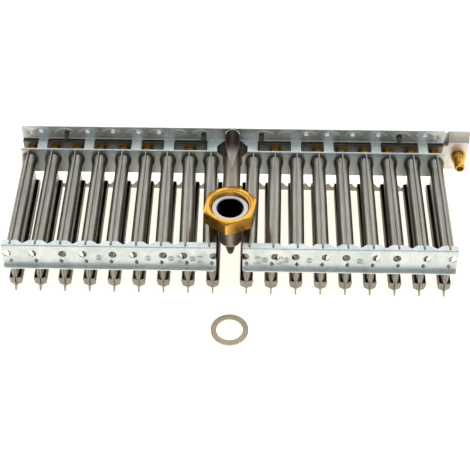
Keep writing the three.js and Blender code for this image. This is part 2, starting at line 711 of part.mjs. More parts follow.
// The elbow: upright socket with a rounded foot and a small nub, and a sleeve for the pipe.
function buildElbow() {
  const domeZ = ELBOW_FOOT_Z + ELBOW_RADIUS;
  const profile = [
    [0, NUB_BOTTOM],
    [NUB_RADIUS, NUB_BOTTOM],
    [NUB_SHOULDER_RADIUS, NUB_SHOULDER_Z],
    [NUB_SHOULDER_RADIUS, ELBOW_FOOT_Z + 1],
  ];
  for (const degrees of [-60, -40, -20, 0]) {
    const angle = THREE.MathUtils.degToRad(degrees);
    profile.push([ELBOW_RADIUS * Math.cos(angle), domeZ + ELBOW_RADIUS * Math.sin(angle)]);
  }
  profile.push([ELBOW_RADIUS, ELBOW_TOP], [0, ELBOW_TOP]);
  const body = turnedUpright(profile, 0, INLET_Y, 20);
  const sleeveStart = INLET_Y + SLEEVE_RADIUS / 2;
  const sleeveEnd = INLET_Y + SLEEVE_END;
  const sleeve = pinAlongY(SLEEVE_RADIUS, 0, PIPE_Z, sleeveStart, sleeveEnd, 18);
  const boreProfile = [
    [0, ELBOW_BORE_BOTTOM],
    [ELBOW_BORE, ELBOW_BORE_BOTTOM],
    [ELBOW_BORE, ELBOW_TOP + 1],
    [0, ELBOW_TOP + 1],
  ];
  const bore = turnedUpright(boreProfile, 0, INLET_Y, 20);
  const seatStart = INLET_Y + ELBOW_RADIUS + 0.8;
  const pipeSeat = pinAlongY(PIPE_RADIUS + GAP, 0, PIPE_Z, seatStart, sleeveEnd + 1, 18);
  const passage = pinAlongY(PIPE_RADIUS - PIPE_WALL, 0, PIPE_Z, INLET_Y, sleeveEnd + 1, 18);
  addPart('inlet_elbow', cutAll(body.add(sleeve), [bore, pipeSeat, passage]), MATERIALS.pipe);
}

function buildCollar() {
  const profile = [
    [COLLAR_BORE, COLLAR_BOTTOM],
    [COLLAR_RADIUS, COLLAR_BOTTOM],
    [COLLAR_RADIUS, COLLAR_TOP],
    [COLLAR_BORE, COLLAR_TOP],
    [COLLAR_BORE, COLLAR_BOTTOM],
  ];
  addPart('inlet_collar', turnedUpright(profile, 0, INLET_Y, 24), MATERIALS.bar);
}

// The union nut: a hexagon with a turned-off top edge, a threaded bore and an inward floor.
function buildUnionNut() {
  const cornerRadius = NUT_ACROSS_FLATS / Math.sqrt(3);
  const hexagon = [];
  for (let i = 0; i < 6; i += 1) {
    const angle = NUT_TURN + (Math.PI / 3) * (i + 0.5);
    hexagon.push([cornerRadius * Math.cos(angle), cornerRadius * Math.sin(angle)]);
  }
  const prism = slabAlongZ(shapeFrom(hexagon), NUT_BOTTOM, NUT_TOP);
  const outside = cornerRadius + 0.2;
  const chamfer = turnedUpright([
    [0, NUT_BOTTOM],
    [outside, NUT_BOTTOM],
    [outside, NUT_TOP - NUT_CHAMFER_DEPTH],
    [NUT_CHAMFER_RADIUS, NUT_TOP],
    [0, NUT_TOP],
  ], 0, 0, 24);
  const bore = turnedUpright([
    [0, NUT_BOTTOM - 1],
    [NUT_FLOOR_HOLE, NUT_BOTTOM - 1],
    [NUT_FLOOR_HOLE, NUT_FLOOR_TOP],
    [NUT_BORE, NUT_FLOOR_TOP],
    [NUT_BORE, NUT_TOP - NUT_LEAD_IN],
    [NUT_BORE + NUT_LEAD_IN, NUT_TOP],
    [NUT_BORE + NUT_LEAD_IN, NUT_TOP + 1],
    [0, NUT_TOP + 1],
  ], 0, 0, 24);
  const solid = prism.intersect(chamfer).subtract(bore);
  const nut = addPart('union_nut', solid, MATERIALS.brass);
  nut.position.set(0, INLET_Y, 0);
}

function buildGasket() {
  const profile = [
    [GASKET_INNER, 0],
    [GASKET_OUTER, 0],
    [GASKET_OUTER, GASKET_THICKNESS],
    [GASKET_INNER, GASKET_THICKNESS],
    [GASKET_INNER, 0],
  ];
  addPart('gasket', turnedUpright(profile, GASKET_X, GASKET_Y, 32), MATERIALS.fibre);
}

// The test nipple stands on the manifold face, with a sealing screw in its bore.
function buildTestNipple() {
  const tip = MANIFOLD_FACE_Y - NIPPLE_LENGTH;
  const profile = [
    [NIPPLE_BORE, 0],
    [NIPPLE_RADIUS - 0.5, 0],
    [NIPPLE_RADIUS, 1],
    [NIPPLE_RADIUS, NIPPLE_LENGTH - NIPPLE_BASE_LENGTH - 0.6],
    [NIPPLE_BASE_RADIUS, NIPPLE_LENGTH - NIPPLE_BASE_LENGTH],
    [NIPPLE_BASE_RADIUS, NIPPLE_LENGTH - GAP],
    [NIPPLE_THREAD_RADIUS, NIPPLE_LENGTH - GAP],
    [NIPPLE_THREAD_RADIUS, NIPPLE_LENGTH + NIPPLE_SPIGOT],
    [NIPPLE_JET, NIPPLE_LENGTH + NIPPLE_SPIGOT],
    [NIPPLE_JET, NIPPLE_BORE_DEPTH],
    [NIPPLE_BORE, NIPPLE_BORE_DEPTH],
    [NIPPLE_BORE, 0],
  ];
  addPart('test_nipple', turnedAlongY(profile, NIPPLE_X, tip, NIPPLE_Z, 16), MATERIALS.brass);
  const screwProfile = [
    [0, 0],
    [TEST_SCREW_RADIUS, 0],
    [TEST_SCREW_RADIUS, TEST_SCREW_CONE],
    [0, TEST_SCREW_LENGTH],
  ];
  const head = tip + TEST_SCREW_INSET;
  const screw = turnedAlongY(screwProfile, NIPPLE_X, head, NIPPLE_Z, 12);
  const slotLow = NIPPLE_Z - TEST_SLOT_HALF;
  const slotHigh = NIPPLE_Z + TEST_SLOT_HALF;
  const slot = box(NIPPLE_X - 3, NIPPLE_X + 3, tip, head + 1, slotLow, slotHigh);
  addPart('test_screw', screw.subtract(slot), MATERIALS.screw);
}

// Self-tapping screws hold the manifold to the rear bracket: head behind, point in front.
function buildRailScrews() {
  const headY = WALL_Y + SHEET + GAP + 2 * MANIFOLD_SHEET + GAP + GAP;
  const profile = [
    [0, SCREW_POINT_Y],
    [SCREW_TIP_RADIUS, SCREW_POINT_Y],
    [SCREW_RADIUS, SCREW_POINT_Y + SCREW_TAPER],
    [SCREW_RADIUS, headY],
    [SCREW_HEAD_RADIUS, headY],
    [SCREW_HEAD_RADIUS, headY + SCREW_HEAD_HEIGHT],
    [0, headY + SCREW_HEAD_HEIGHT],
  ];
  SCREW_PLACES.forEach((x, i) => {
    const solid = turnedAlongY(profile, x, 0, SCREW_Z, 10);
    addPart(`rail_screw_${i + 1}`, solid, MATERIALS.screw);
  });
}

// The rear comb: a low strip behind the flame heads, with a pointed tooth in each gap.
function buildRearComb() {
  const y0 = BAR_LENGTH + GAP;
  const half = FIRST_BAR_X + (BARS_PER_SIDE - 2) * BAR_PITCH + SKIRT_HALF;
  const points = [[-half, COMB_BOTTOM], [half, COMB_BOTTOM], [half, COMB_TOP]];
  for (let index = 2 * BARS_PER_SIDE - 2; index >= 2; index -= 1) {
    const middle = (barX(index).x + barX(index - 1).x) / 2;
    points.push([middle + TOOTH_HALF, COMB_TOP], [middle, TOOTH_TOP], [middle - TOOTH_HALF, COMB_TOP]);
  }
  points.push([-half, COMB_TOP]);
  addPart('rear_comb', slabAlongY(shapeFrom(points), y0, y0 + SHEET), MATERIALS.bar);
}

function centreOnGround() {
  const bounds = new THREE.Box3().setFromObject(assembly);
  const middle = bounds.getCenter(new THREE.Vector3());
  for (const child of assembly.children) {
    child.position.x -= middle.x;
    child.position.y -= middle.y;
    child.position.z -= bounds.min.z;
  }
}

buildBars();
buildFrontBrackets();
buildBellPlate();
buildRearBracket();
buildManifoldFront();
buildManifoldRear();
buildInjectors();
buildGasPipe();
buildPipeSaddle();
buildElbow();
buildCollar();
buildUnionNut();
buildGasket();
buildTestNipple();
buildRailScrews();
buildRearComb();
centreOnGround();

export default assembly;
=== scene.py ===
import math

import bmesh
import bpy
from mathutils import Matrix, Vector
from mathutils.geometry import delaunay_2d_cdt


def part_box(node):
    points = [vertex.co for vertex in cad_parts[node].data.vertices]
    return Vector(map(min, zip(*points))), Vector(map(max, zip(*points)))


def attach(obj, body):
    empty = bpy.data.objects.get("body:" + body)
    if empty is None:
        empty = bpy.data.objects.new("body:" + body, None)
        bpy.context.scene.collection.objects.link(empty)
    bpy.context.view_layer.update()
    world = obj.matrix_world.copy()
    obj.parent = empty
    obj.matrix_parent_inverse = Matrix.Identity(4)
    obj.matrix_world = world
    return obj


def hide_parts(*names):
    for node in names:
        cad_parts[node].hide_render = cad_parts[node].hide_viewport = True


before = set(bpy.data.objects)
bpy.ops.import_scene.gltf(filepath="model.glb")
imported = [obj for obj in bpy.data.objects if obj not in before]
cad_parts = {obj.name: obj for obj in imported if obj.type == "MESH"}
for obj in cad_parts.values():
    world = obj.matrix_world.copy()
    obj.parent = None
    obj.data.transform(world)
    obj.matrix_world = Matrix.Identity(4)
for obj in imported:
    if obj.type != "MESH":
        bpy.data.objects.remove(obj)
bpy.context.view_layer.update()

# Lengths are in millimetres of the design frame and become metres in place().
# Design frame: X = 0 at the inlet, Y = 0 at the front brackets' top fold, Z = 0 on the ground.
MM = 0.001

# Burner bars.
BARS_PER_SIDE = 9
BAR_PITCH = 20.0
FIRST_BAR_X = 13.65
BAR_END = 109.2
SEAM_TOP = 47.2
SEAM_HALF = 0.5
TUBE_Z = 36.3
TUBE_RADIUS = 5.75
TUBE_WALL = 0.9
BELL_RADIUS = 7.2
BELL_LENGTH = 10.6
BELL_CURVE = 1.4
MOUTH_Y = 108.2
SKIRT_TOP = 11.0
TUBE_LEAN_FRONT = (2.2, 1.0, 0.2)
TUBE_LEAN_REAR = (4.5, 3.0, 1.5)
KEEL_TOP = 3.0
HEAD_TOP = 10.0
NECK_TOP = 30.0

# Shares of painted shade in hollows that lie in shadow, from clean metal at 0 to black at 1.
TROUGH_SHADE = 0.45
NECK_SHADE = 0.3
OCTAGON_SHADE = 0.9
LEDGE_SHADE = 0.8
WINDOW_SHADE = 0.66
BORE_SHADE = 0.95

# Edges that turn by more degrees than this stay sharp.
SHARP = 32.0
SHARP_BAR = 38.0
SHARP_SHEET = 24.0
SHARP_NUT = 26.0
SHARP_JET = 28.0
SHARP_GASKET = 60.0

# Sheet metal.
SHEET = 1.0
GAP = 0.3
FLANGE_DEPTH = 6.0
FRONT_INNER_X = 10.5
FRONT_OUTER_X = 180.2
FACE_FOOT_Y = -3.3
FACE_FOOT_Z = 28.5
LIP_FRONT_Y = -7.2
REAR_HALF = 180.4
REAR_FOLD_Y = 109.6
WALL_Y = 124.0
WALL_TOP = 60.4
PLATE_BOTTOM = 21.0
BELL_OPENING = 5.6
STRIP_WINDOWS = ((21.5, 50.0), (58.5, 78.0), (86.2, 118.5), (126.5, 158.5), (166.5, 180.4))
WALL_HOLES = (62.8, 80.4, 102.2, 124.2, 163.8)
WALL_HOLE_Z = 55.0
WALL_HOLE = 1.9
SCREW_PLACES = (-142.0, -24.7, 24.7, 142.0)
SCREW_Z = 53.0
OCTAGON_HALF = 13.0
OCTAGON_NARROW = 7.0
OCTAGON_CORNER = 7.0
THROAT_CLEARANCE = 0.9

# Manifold.
MANIFOLD_SHEET = 1.2
MANIFOLD_RIGHT = 202.0
MANIFOLD_FACE_Y = 121.5
MANIFOLD_FLANGE_Y = WALL_Y + SHEET + GAP
MANIFOLD_BOTTOM = 18.5
LEDGE_Z = 45.8
END_LEDGE_Z = 49.6
FRONT_FLANGE_TOP = 57.0
END_FLANGE_TOP = 59.0
REAR_FLANGE_TOP = 55.8
FLANGE_NOTCH_HALF = 4.0
FLANGE_NOTCH_BOTTOM = 48.0
CHANNEL_DEPTH = 12.0
CHANNEL_LOW = 24.0
CHANNEL_HIGH = 47.0
CHANNEL_SLOPE = 4.0
JOGGLE = (181.2, 184.6)
JET_HOLE = 2.8
SCREW_HOLE = 2.3

# Inlet.
INLET_Y = 32.0
PIPE_Z = 39.0
PIPE_RADIUS = 7.3
PIPE_WALL = 1.1
PIPE_END_Y = 113.0
SPIGOT_RADIUS = 5.9
SADDLE_HALF = 6.2
SADDLE_TIP_Y = 87.0
SADDLE_FOLD_Y = 117.4
ELBOW_RADIUS = 10.2
ELBOW_BORE = 9.3
ELBOW_TOP = 55.0
SLEEVE_RADIUS = 8.4
ELBOW_FOOT_Z = 17.5
COLLAR_TOP = 60.0
COLLAR_BOTTOM = 54.3
COLLAR_RADIUS = 14.8
COLLAR_BORE = 10.5
NUT_BOTTOM = 51.0
NUT_TOP = 63.6
NUT_FLATS = 39.4
NUT_FLOOR_TOP = 54.0
NUT_FLOOR_HOLE = 11.0
NUT_TURN = math.radians(-8.0)
THREAD_PITCH = 2.309
THREAD_CREST = 15.15
THREAD_DEPTH = 0.9
NUT_FLAT_TOP = 19.2
NUT_CHAMFER_START = 20.0
NUT_TOP_SLOPE = 0.42
NUT_FOOT_SLOPE = 0.4

# Test nipple.
NIPPLE_X = 194.5
NIPPLE_Z = 34.0
NIPPLE_TIP_Y = 106.0


def design_origin():
    """The design frame's origin in metres, read from the CAD frame."""
    rear_low, rear_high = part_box("rear_bracket")
    _, front_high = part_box("front_bracket_left")
    return Vector(((rear_low[0] + rear_high[0]) / 2, front_high[1] - FLANGE_DEPTH * MM, 0.0))


ORIGIN = design_origin()


def place(point):
    """A design point in millimetres as a scene point in metres."""
    return ORIGIN + Vector(point) * MM


def lerp(a, b, t):
    return a + (b - a) * t


def smooth(t):
    t = min(max(t, 0.0), 1.0)
    return t * t * (3 - 2 * t)


# ---------------------------------------------------------------- materials


class Surface:
    """A small helper that builds a node material around one Principled shader."""

    def __init__(self, name, metallic, roughness):
        self.material = bpy.data.materials.new(name)
        self.material.use_nodes = True
        self.nodes = self.material.node_tree.nodes
        self.links = self.material.node_tree.links
        self.shader = self.nodes["Principled BSDF"]
        self.shader.inputs["Metallic"].default_value = metallic
        self.shader.inputs["Roughness"].default_value = roughness
        self.coords = self.nodes.new("ShaderNodeTexCoord")

    def noise(self, scale, detail=4.0, stretch=(1, 1, 1), distortion=0.0):
        """Noise at a scale per metre, stretched along the axes."""
        mapping = self.nodes.new("ShaderNodeMapping")
        mapping.inputs["Scale"].default_value = stretch
        texture = self.nodes.new("ShaderNodeTexNoise")
        texture.inputs["Scale"].default_value = scale
        texture.inputs["Detail"].default_value = detail
        texture.inputs["Distortion"].default_value = distortion
        self.links.new(self.coords.outputs["Object"], mapping.inputs["Vector"])
        self.links.new(mapping.outputs["Vector"], texture.inputs["Vector"])
        return texture.outputs["Fac"]

    def cells(self, scale):
        texture = self.nodes.new("ShaderNodeTexVoronoi")
        texture.inputs["Scale"].default_value = scale
        self.links.new(self.coords.outputs["Object"], texture.inputs["Vector"])
        return texture.outputs["Color"]

    def between(self, value, dark, light, spread=0.2):
        """A ramp from a dark to a light colour about the middle of a value's range."""
        node = self.nodes.new("ShaderNodeValToRGB")
        stops = ((0.5 - spread, dark), (0.5 + spread, light))
        for element, (position, color) in zip(node.color_ramp.elements, stops):
            element.position = position
            element.color = (*color, 1.0)
        self.links.new(value, node.inputs["Fac"])
        return node.outputs["Color"]

    def mix(self, factor, a, b, mode="MIX"):
        node = self.nodes.new("ShaderNodeMix")
        node.data_type = "RGBA"
        node.blend_type = mode
        if isinstance(factor, float):
            node.inputs["Factor"].default_value = factor
        else:
            self.links.new(factor, node.inputs["Factor"])
        self.links.new(a, node.inputs["A"])
        self.links.new(b, node.inputs["B"])
        return node.outputs["Result"]

    def spread(self, value, low, high):
        node = self.nodes.new("ShaderNodeMapRange")
        node.inputs["To Min"].default_value = low
        node.inputs["To Max"].default_value = high
        self.links.new(value, node.inputs["Value"])
        return node.outputs["Result"]

    def color(self, socket):
        """The base colour, darkened towards black by painted shade on faces that carry it."""
        painted_shade = self.nodes.new("ShaderNodeAttribute")
        painted_shade.attribute_name = "painted_shade"
        # Near-black painted shade, mixed into the base colour where hollows lie in shadow.
        shade_color = self.nodes.new("ShaderNodeRGB")
        shade_color.outputs["Color"].default_value = (0.012, 0.010, 0.008, 1.0)
        shaded = self.mix(painted_shade.outputs["Fac"], socket, shade_color.outputs["Color"])
        self.links.new(shaded, self.shader.inputs["Base Color"])

    def roughness(self, socket):
        self.links.new(socket, self.shader.inputs["Roughness"])

    def bump(self, height, distance, strength=0.5):
        node = self.nodes.new("ShaderNodeBump")
        node.inputs["Distance"].default_value = distance
        node.inputs["Strength"].default_value = strength
        previous = self.shader.inputs["Normal"].links
        if previous:
            self.links.new(previous[0].from_socket, node.inputs["Normal"])
        self.links.new(height, node.inputs["Height"])
        self.links.new(node.outputs["Normal"], self.shader.inputs["Normal"])


def burner_steel():
    """Stamped heat-resistant sheet: drawn streaks along the bar and faint blotches."""
    surface = Surface("burner_steel", 1.0, 0.3)
    streaks = surface.noise(900, 5.0, stretch=(1.0, 0.03, 0.4))
    blotches = surface.noise(45, 3.0, distortion=0.6)
    base = surface.between(streaks, (0.25, 0.245, 0.225), (0.37, 0.365, 0.34))
    tint = surface.between(blotches, (0.82, 0.80, 0.74), (1.0, 0.99, 0.97), 0.15)
    surface.color(surface.mix(1.0, base, tint, "MULTIPLY"))
    surface.roughness(surface.spread(blotches, 0.26, 0.42))
    surface.bump(streaks, 0.00004, 0.35)
    surface.bump(surface.noise(120, 2.0), 0.00025, 0.25)
    return surface.material


def zinc_steel():
    """Bright zinc plate: bluish, with a fine mottle and soft handling marks."""
    surface = Surface("zinc_steel", 1.0, 0.35)
    cells = surface.cells(900)
    cloud = surface.noise(60, 5.0, distortion=1.2)
    speck = surface.noise(1500, 3.0)
    base = surface.between(cloud, (0.62, 0.70, 0.70), (0.84, 0.885, 0.88))
    fine = surface.between(speck, (0.84, 0.86, 0.88), (1.0, 1.0, 1.0), 0.15)
    surface.color(surface.mix(1.0, base, fine, "MULTIPLY"))
    surface.roughness(surface.spread(cells, 0.42, 0.56))
    surface.bump(cells, 0.00003, 0.3)
    surface.bump(cloud, 0.0003, 0.3)
    return surface.material


def manifold_steel():
    """Warm grey aluminised sheet, softer in its gloss than the zinc."""
    surface = Surface("manifold_steel", 1.0, 0.4)
    cloud = surface.noise(50, 4.0, distortion=0.8)
    grain = surface.noise(1400, 3.0, stretch=(0.15, 1, 1))
    base = surface.between(cloud, (0.66, 0.63, 0.58), (0.82, 0.79, 0.74))
    fine = surface.between(grain, (0.86, 0.85, 0.84), (1.0, 1.0, 1.0))
    surface.color(surface.mix(1.0, base, fine, "MULTIPLY"))
    surface.roughness(surface.spread(cloud, 0.34, 0.5))
    surface.bump(grain, 0.00004, 0.3)
    return surface.material


def pipe_steel():
    """Drawn tube, brownish grey, with streaks along its length and heat tint."""
    surface = Surface("pipe_steel", 1.0, 0.38)
    streaks = surface.noise(1000, 4.0, stretch=(1.0, 0.04, 1.0))
    cloud = surface.noise(55, 4.0, distortion=0.8)
    base = surface.between(streaks, (0.31, 0.275, 0.24), (0.45, 0.405, 0.36))
    tint = surface.between(cloud, (0.80, 0.76, 0.72), (1.0, 0.98, 0.96))
    surface.color(surface.mix(1.0, base, tint, "MULTIPLY"))
    surface.roughness(surface.spread(cloud, 0.32, 0.5))
    surface.bump(streaks, 0.00004, 0.35)
    return surface.material


def collar_steel():
    """Machined light steel."""
    surface = Surface("collar_steel", 1.0, 0.3)
    grain = surface.noise(1600, 3.0)
    cloud = surface.noise(80, 3.0)
    base = surface.between(grain, (0.46, 0.44, 0.42), (0.62, 0.60, 0.57))
    tint = surface.between(cloud, (0.88, 0.87, 0.85), (1.0, 1.0, 1.0))
    surface.color(surface.mix(1.0, base, tint, "MULTIPLY"))
    surface.roughness(surface.spread(cloud, 0.24, 0.4))
    surface.bump(grain, 0.00002, 0.3)
    return surface.material


def brass():
    """Machined brass: fine turning lines, warm and cool patches."""
    surface = Surface("brass", 1.0, 0.26)
    lines = surface.noise(1200, 3.0, stretch=(0.3, 0.3, 2.0))
    cloud = surface.noise(70, 4.0, distortion=0.8)
    base = surface.between(cloud, (0.70, 0.34, 0.05), (0.90, 0.52, 0.10))
    fine = surface.between(lines, (0.86, 0.84, 0.80), (1.0, 1.0, 1.0))
    surface.color(surface.mix(1.0, base, fine, "MULTIPLY"))
    surface.roughness(surface.spread(cloud, 0.2, 0.36))
    surface.bump(lines, 0.00003, 0.3)
    return surface.material


def fastener_steel():
    """Dark oiled screws."""
    surface = Surface("fastener_steel", 1.0, 0.42)
    cloud = surface.noise(400, 4.0)
    grain = surface.noise(2500, 2.0)
    base = surface.between(cloud, (0.055, 0.062, 0.045), (0.15, 0.165, 0.12))
    surface.color(base)
    surface.roughness(surface.spread(grain, 0.34, 0.52))
    surface.bump(grain, 0.00003, 0.4)
    return surface.material


def gasket_fibre():
    """Pressed beige fibre sheet with short fibres and a faint mottle."""
    surface = Surface("gasket_fibre", 0.0, 0.8)
    fibres = surface.noise(1800, 6.0, stretch=(1.0, 0.35, 1.0), distortion=1.5)
    cloud = surface.noise(160, 4.0)
    base = surface.between(fibres, (0.66, 0.57, 0.42), (0.84, 0.76, 0.59), 0.25)
    tint = surface.between(cloud, (0.90, 0.88, 0.86), (1.0, 1.0, 1.0))
    surface.color(surface.mix(1.0, base, tint, "MULTIPLY"))
    surface.roughness(surface.spread(fibres, 0.68, 0.9))
    surface.bump(fibres, 0.00012, 0.5)
    return surface.material


MATERIALS = {
    "burner_steel": burner_steel(),
    "zinc_steel": zinc_steel(),
    "manifold_steel": manifold_steel(),
    "pipe_steel": pipe_steel(),
    "collar_steel": collar_steel(),
    "brass": brass(),
    "fastener_steel": fastener_steel(),
    "gasket_fibre": gasket_fibre(),
}


# ---------------------------------------------------------------- mesh helpers


def mesh_object(name, verts, faces, sharp_degrees=SHARP):
    """A mesh object from design points, normals outward, with creased edges kept sharp."""
    mesh = bpy.data.meshes.new(name)
    mesh.from_pydata([place(v) for v in verts], [], faces)
    obj = bpy.data.objects.new(name, mesh)
    bpy.context.collection.objects.link(obj)
    tidy_mesh(mesh, sharp_degrees)
    return obj


def tidy_mesh(mesh, sharp_degrees):
    bm = bmesh.new()
    bm.from_mesh(mesh)
    bmesh.ops.remove_doubles(bm, verts=bm.verts, dist=1e-7)
    bmesh.ops.recalc_face_normals(bm, faces=bm.faces)
    limit = math.radians(sharp_degrees)
    for face in bm.faces:
        face.smooth = True
    for edge in bm.edges:
        if len(edge.link_faces) == 2:
            edge.smooth = edge.calc_face_angle() < limit
    bm.to_mesh(mesh)
    bm.free()
    mesh.update()


def add_painted_shade(obj, amount_at):
    """Painted shade in hollows that lie in shadow: a share from 0 to 1 for each face, from its middle in the
    design frame.
    """
    layer = obj.data.attributes.new("painted_shade", "FLOAT", "FACE")
    for face in obj.data.polygons:
        x, y, z = (face.center - ORIGIN) / MM
        layer.data[face.index].value = amount_at(x, y, z)


def finish_piece(obj, slot, body, *nodes):
    """Give a piece its material, its body and the CAD nodes that it stands for."""
    obj.data.materials.clear()
    obj.data.materials.append(MATERIALS[slot])
    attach(obj, body)
    if nodes:
        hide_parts(*nodes)
    return obj


def hexagon_radius(angle, flats, turn=0.0):
    """Distance from the centre to a hexagon's side at an angle; one corner points along the turn."""
    sector = math.pi / 3
    local = (angle - turn) % sector - sector / 2
    return flats / 2 / math.cos(local)


def ring_faces(segments, count, closed):
    """The faces between neighbouring rings of points, all the way round."""
    faces = []
    for j in range(segments):
        a = j * count
        b = ((j + 1) % segments) * count
        for i in range(count if closed else count - 1):
            k = (i + 1) % count
            faces.append((a + i, b + i, b + k, a + k))
    return faces


def revolve(profile, segments, flats=None):
    """Rings round the Z axis from [radius, height] points, limited to a hexagon if it has flats."""
    verts = []
    closed = profile[0][0] > 0 and profile[-1][0] > 0
    for j in range(segments):
        angle = 2 * math.pi * j / segments
        limit = hexagon_radius(angle, flats) if flats else math.inf
        for radius, height in profile:
            reach = min(radius, limit)
            verts.append((reach * math.cos(angle), reach * math.sin(angle), height))
    return verts, ring_faces(segments, len(profile), closed)


def drop_slivers(verts, faces):
    """Faces whose corners meet on the axis lose the repeated corner."""
    kept = []
    for face in faces:
        ring = []
        for index in face:
            point = tuple(round(c, 5) for c in verts[index])
            if point not in [tuple(round(c, 5) for c in verts[i]) for i in ring]:
                ring.append(index)
        if len(ring) > 2:
            kept.append(tuple(ring))
    return kept


def turned(name, profile, segments, axis="Z", centre=(0, 0, 0), sharp_degrees=SHARP, flats=None):
    """A turned piece about Z, or about Y with heights measured backwards."""
    verts, faces = revolve(profile, segments, flats)
    faces = drop_slivers(verts, faces)
    if axis == "Y":
        verts = [(x, z, -y) for x, y, z in verts]
    verts = [(x + centre[0], y + centre[1], z + centre[2]) for x, y, z in verts]
    return mesh_object(name, verts, faces, sharp_degrees)


def combined(obj, others, operation, sharp_degrees=SHARP):
    """The boolean of one object with others, which are used up."""
    for other in others:
        modifier = obj.modifiers.new("combine", "BOOLEAN")
        modifier.object = other
        modifier.operation = operation
        modifier.solver = "EXACT"
    depsgraph = bpy.context.evaluated_depsgraph_get()
    mesh = bpy.data.meshes.new_from_object(obj.evaluated_get(depsgraph))
    obj.modifiers.clear()
    obj.data = mesh
    for other in others:
        bpy.data.objects.remove(other)
    tidy_mesh(mesh, sharp_degrees)
    return obj


def block(name, low, high):
    """A box used only as a cutter."""
    x0, y0, z0 = low
    x1, y1, z1 = high
    verts = [(x, y, z) for x in (x0, x1) for y in (y0, y1) for z in (z0, z1)]
    faces = [(0, 1, 3, 2), (4, 6, 7, 5), (0, 4, 5, 1), (2, 3, 7, 6), (0, 2, 6, 4), (1, 5, 7, 3)]
    return mesh_object(name, verts, faces)


def arc_points(cx, cy, radius, start, end, steps):
    """Points on an arc, angles in degrees."""
    points = []
    for i in range(steps + 1):
        angle = math.radians(lerp(start, end, i / steps))
        points.append((cx + radius * math.cos(angle), cy + radius * math.sin(angle)))
    return points


def circle(cx, cy, radius, steps=24):
    return arc_points(cx, cy, radius, 0, 360 - 360 / steps, steps - 1)


def rounded_rectangle(x0, x1, y0, y1, radius, steps=4):
    points = arc_points(x1 - radius, y1 - radius, radius, 0, 90, steps)
    points += arc_points(x0 + radius, y1 - radius, radius, 90, 180, steps)
    points += arc_points(x0 + radius, y0 + radius, radius, 180, 270, steps)
    points += arc_points(x1 - radius, y0 + radius, radius, 270, 360, steps)
    return points


# ---------------------------------------------------------------- bent sheets


class BentLine:
    """A sheet's outer face seen end on: straight runs of Y and Z joined by round bends."""

    BEND_STEPS = 4

    def __init__(self, corners, radius):
        points = [Vector(corners[0])]
        for before, corner, after in zip(corners, corners[1:], corners[2:]):
            points += self.bend(Vector(before), Vector(corner), Vector(after), radius)
        points.append(Vector(corners[-1]))
        self.points = points
        self.lengths = [0.0]
        for a, b in zip(points, points[1:]):
            self.lengths.append(self.lengths[-1] + (b - a).length)
        self.total = self.lengths[-1]

    def bend(self, before, corner, after, radius):
        back = (before - corner).normalized()
        ahead = (after - corner).normalized()
        half = back.angle(ahead) / 2
        reach = radius / math.tan(half)
        start = corner + back * reach
        end = corner + ahead * reach
        centre = corner + (back + ahead).normalized() * (radius / math.sin(half))
        points = []
        for i in range(self.BEND_STEPS + 1):
            t = i / self.BEND_STEPS
            chord = (start - centre).lerp(end - centre, t)
            points.append(centre + chord.normalized() * radius)
        return points

    def at(self, s):
        """Point and left-hand normal at a length along the line."""
        s = min(max(s, 0.0), self.total)
        index = 0
        while index < len(self.points) - 2 and self.lengths[index + 1] < s - 1e-9:
            index += 1
        span = self.lengths[index + 1] - self.lengths[index]
        t = (s - self.lengths[index]) / span
        point = self.points[index].lerp(self.points[index + 1], t)
        normal = self.normal(index)
        if t > 0.999 and index + 2 < len(self.points):
            normal = (normal + self.normal(index + 1)).normalized()
        elif t < 0.001 and index > 0:
            normal = (normal + self.normal(index - 1)).normalized()
        return point, normal

    def normal(self, index):
        along = (self.points[index + 1] - self.points[index]).normalized()
        return Vector((-along.y, along.x))

    def length_to(self, point):
        """The length along the line at which it passes nearest to a point."""
        best = (1e9, 0.0)
        for index, (a, b) in enumerate(zip(self.points, self.points[1:])):
            ab = b - a
            t = min(max((Vector(point) - a).dot(ab) / ab.length_squared, 0.0), 1.0)
            gap = (a + ab * t - Vector(point)).length
            if gap < best[0]:
                best = (gap, self.lengths[index] + ab.length * t)
        return best[1]


def inside(point, polygon):
    x, y = point
    hit = False
    for (x0, y0), (x1, y1) in zip(polygon, polygon[1:] + polygon[:1]):
        if (y0 > y) != (y1 > y) and x < x0 + (y - y0) * (x1 - x0) / (y1 - y0):
            hit = not hit
    return hit


def sheet_mesh(outline, holes, cut_lines, extra_points, put, relief, thickness):
    """A flat pattern in X and length, triangulated, then bent and thickened."""
    points = []
    edges = []
    for polygon in [outline] + holes:
        first = len(points)
        points += [Vector(p) for p in polygon]
        edges += [(first + i, first + (i + 1) % len(polygon)) for i in range(len(polygon))]
    for a, b in cut_lines:
        edges.append((len(points), len(points) + 1))
        points += [Vector(a), Vector(b)]
    points += [Vector(p) for p in extra_points if not any(inside(p, hole) for hole in holes)]
    flat, _, triangles, *_ = delaunay_2d_cdt(points, edges, [], 0, 1e-5)
    kept = []
    for triangle in triangles:
        middle = sum((flat[i] for i in triangle), Vector((0, 0))) / len(triangle)
        if inside(middle, outline) and not any(inside(middle, hole) for hole in holes):
            kept.append(tuple(triangle))
    used = sorted({i for triangle in kept for i in triangle})
    index = {old: new for new, old in enumerate(used)}
    front = []
    back = []
    for old in used:
        x, s = flat[old]
        point, normal = put(x, s)
        lift = relief(x, s) if relief else 0.0
        front.append(tuple(point - normal * lift))
        back.append(tuple(point + normal * (thickness - lift)))
    count = len(front)
    faces = []
    rims = {}
    for triangle in kept:
        a, b, c = (index[i] for i in triangle)
        faces.append((a, b, c))
        faces.append((a + count, c + count, b + count))
        for edge in ((a, b), (b, c), (c, a)):
            key = tuple(sorted(edge))
            rims[key] = None if key in rims else edge
    for edge in rims.values():
        if edge:
            faces.append((edge[0], edge[0] + count, edge[1] + count, edge[1]))
    return front + back, faces


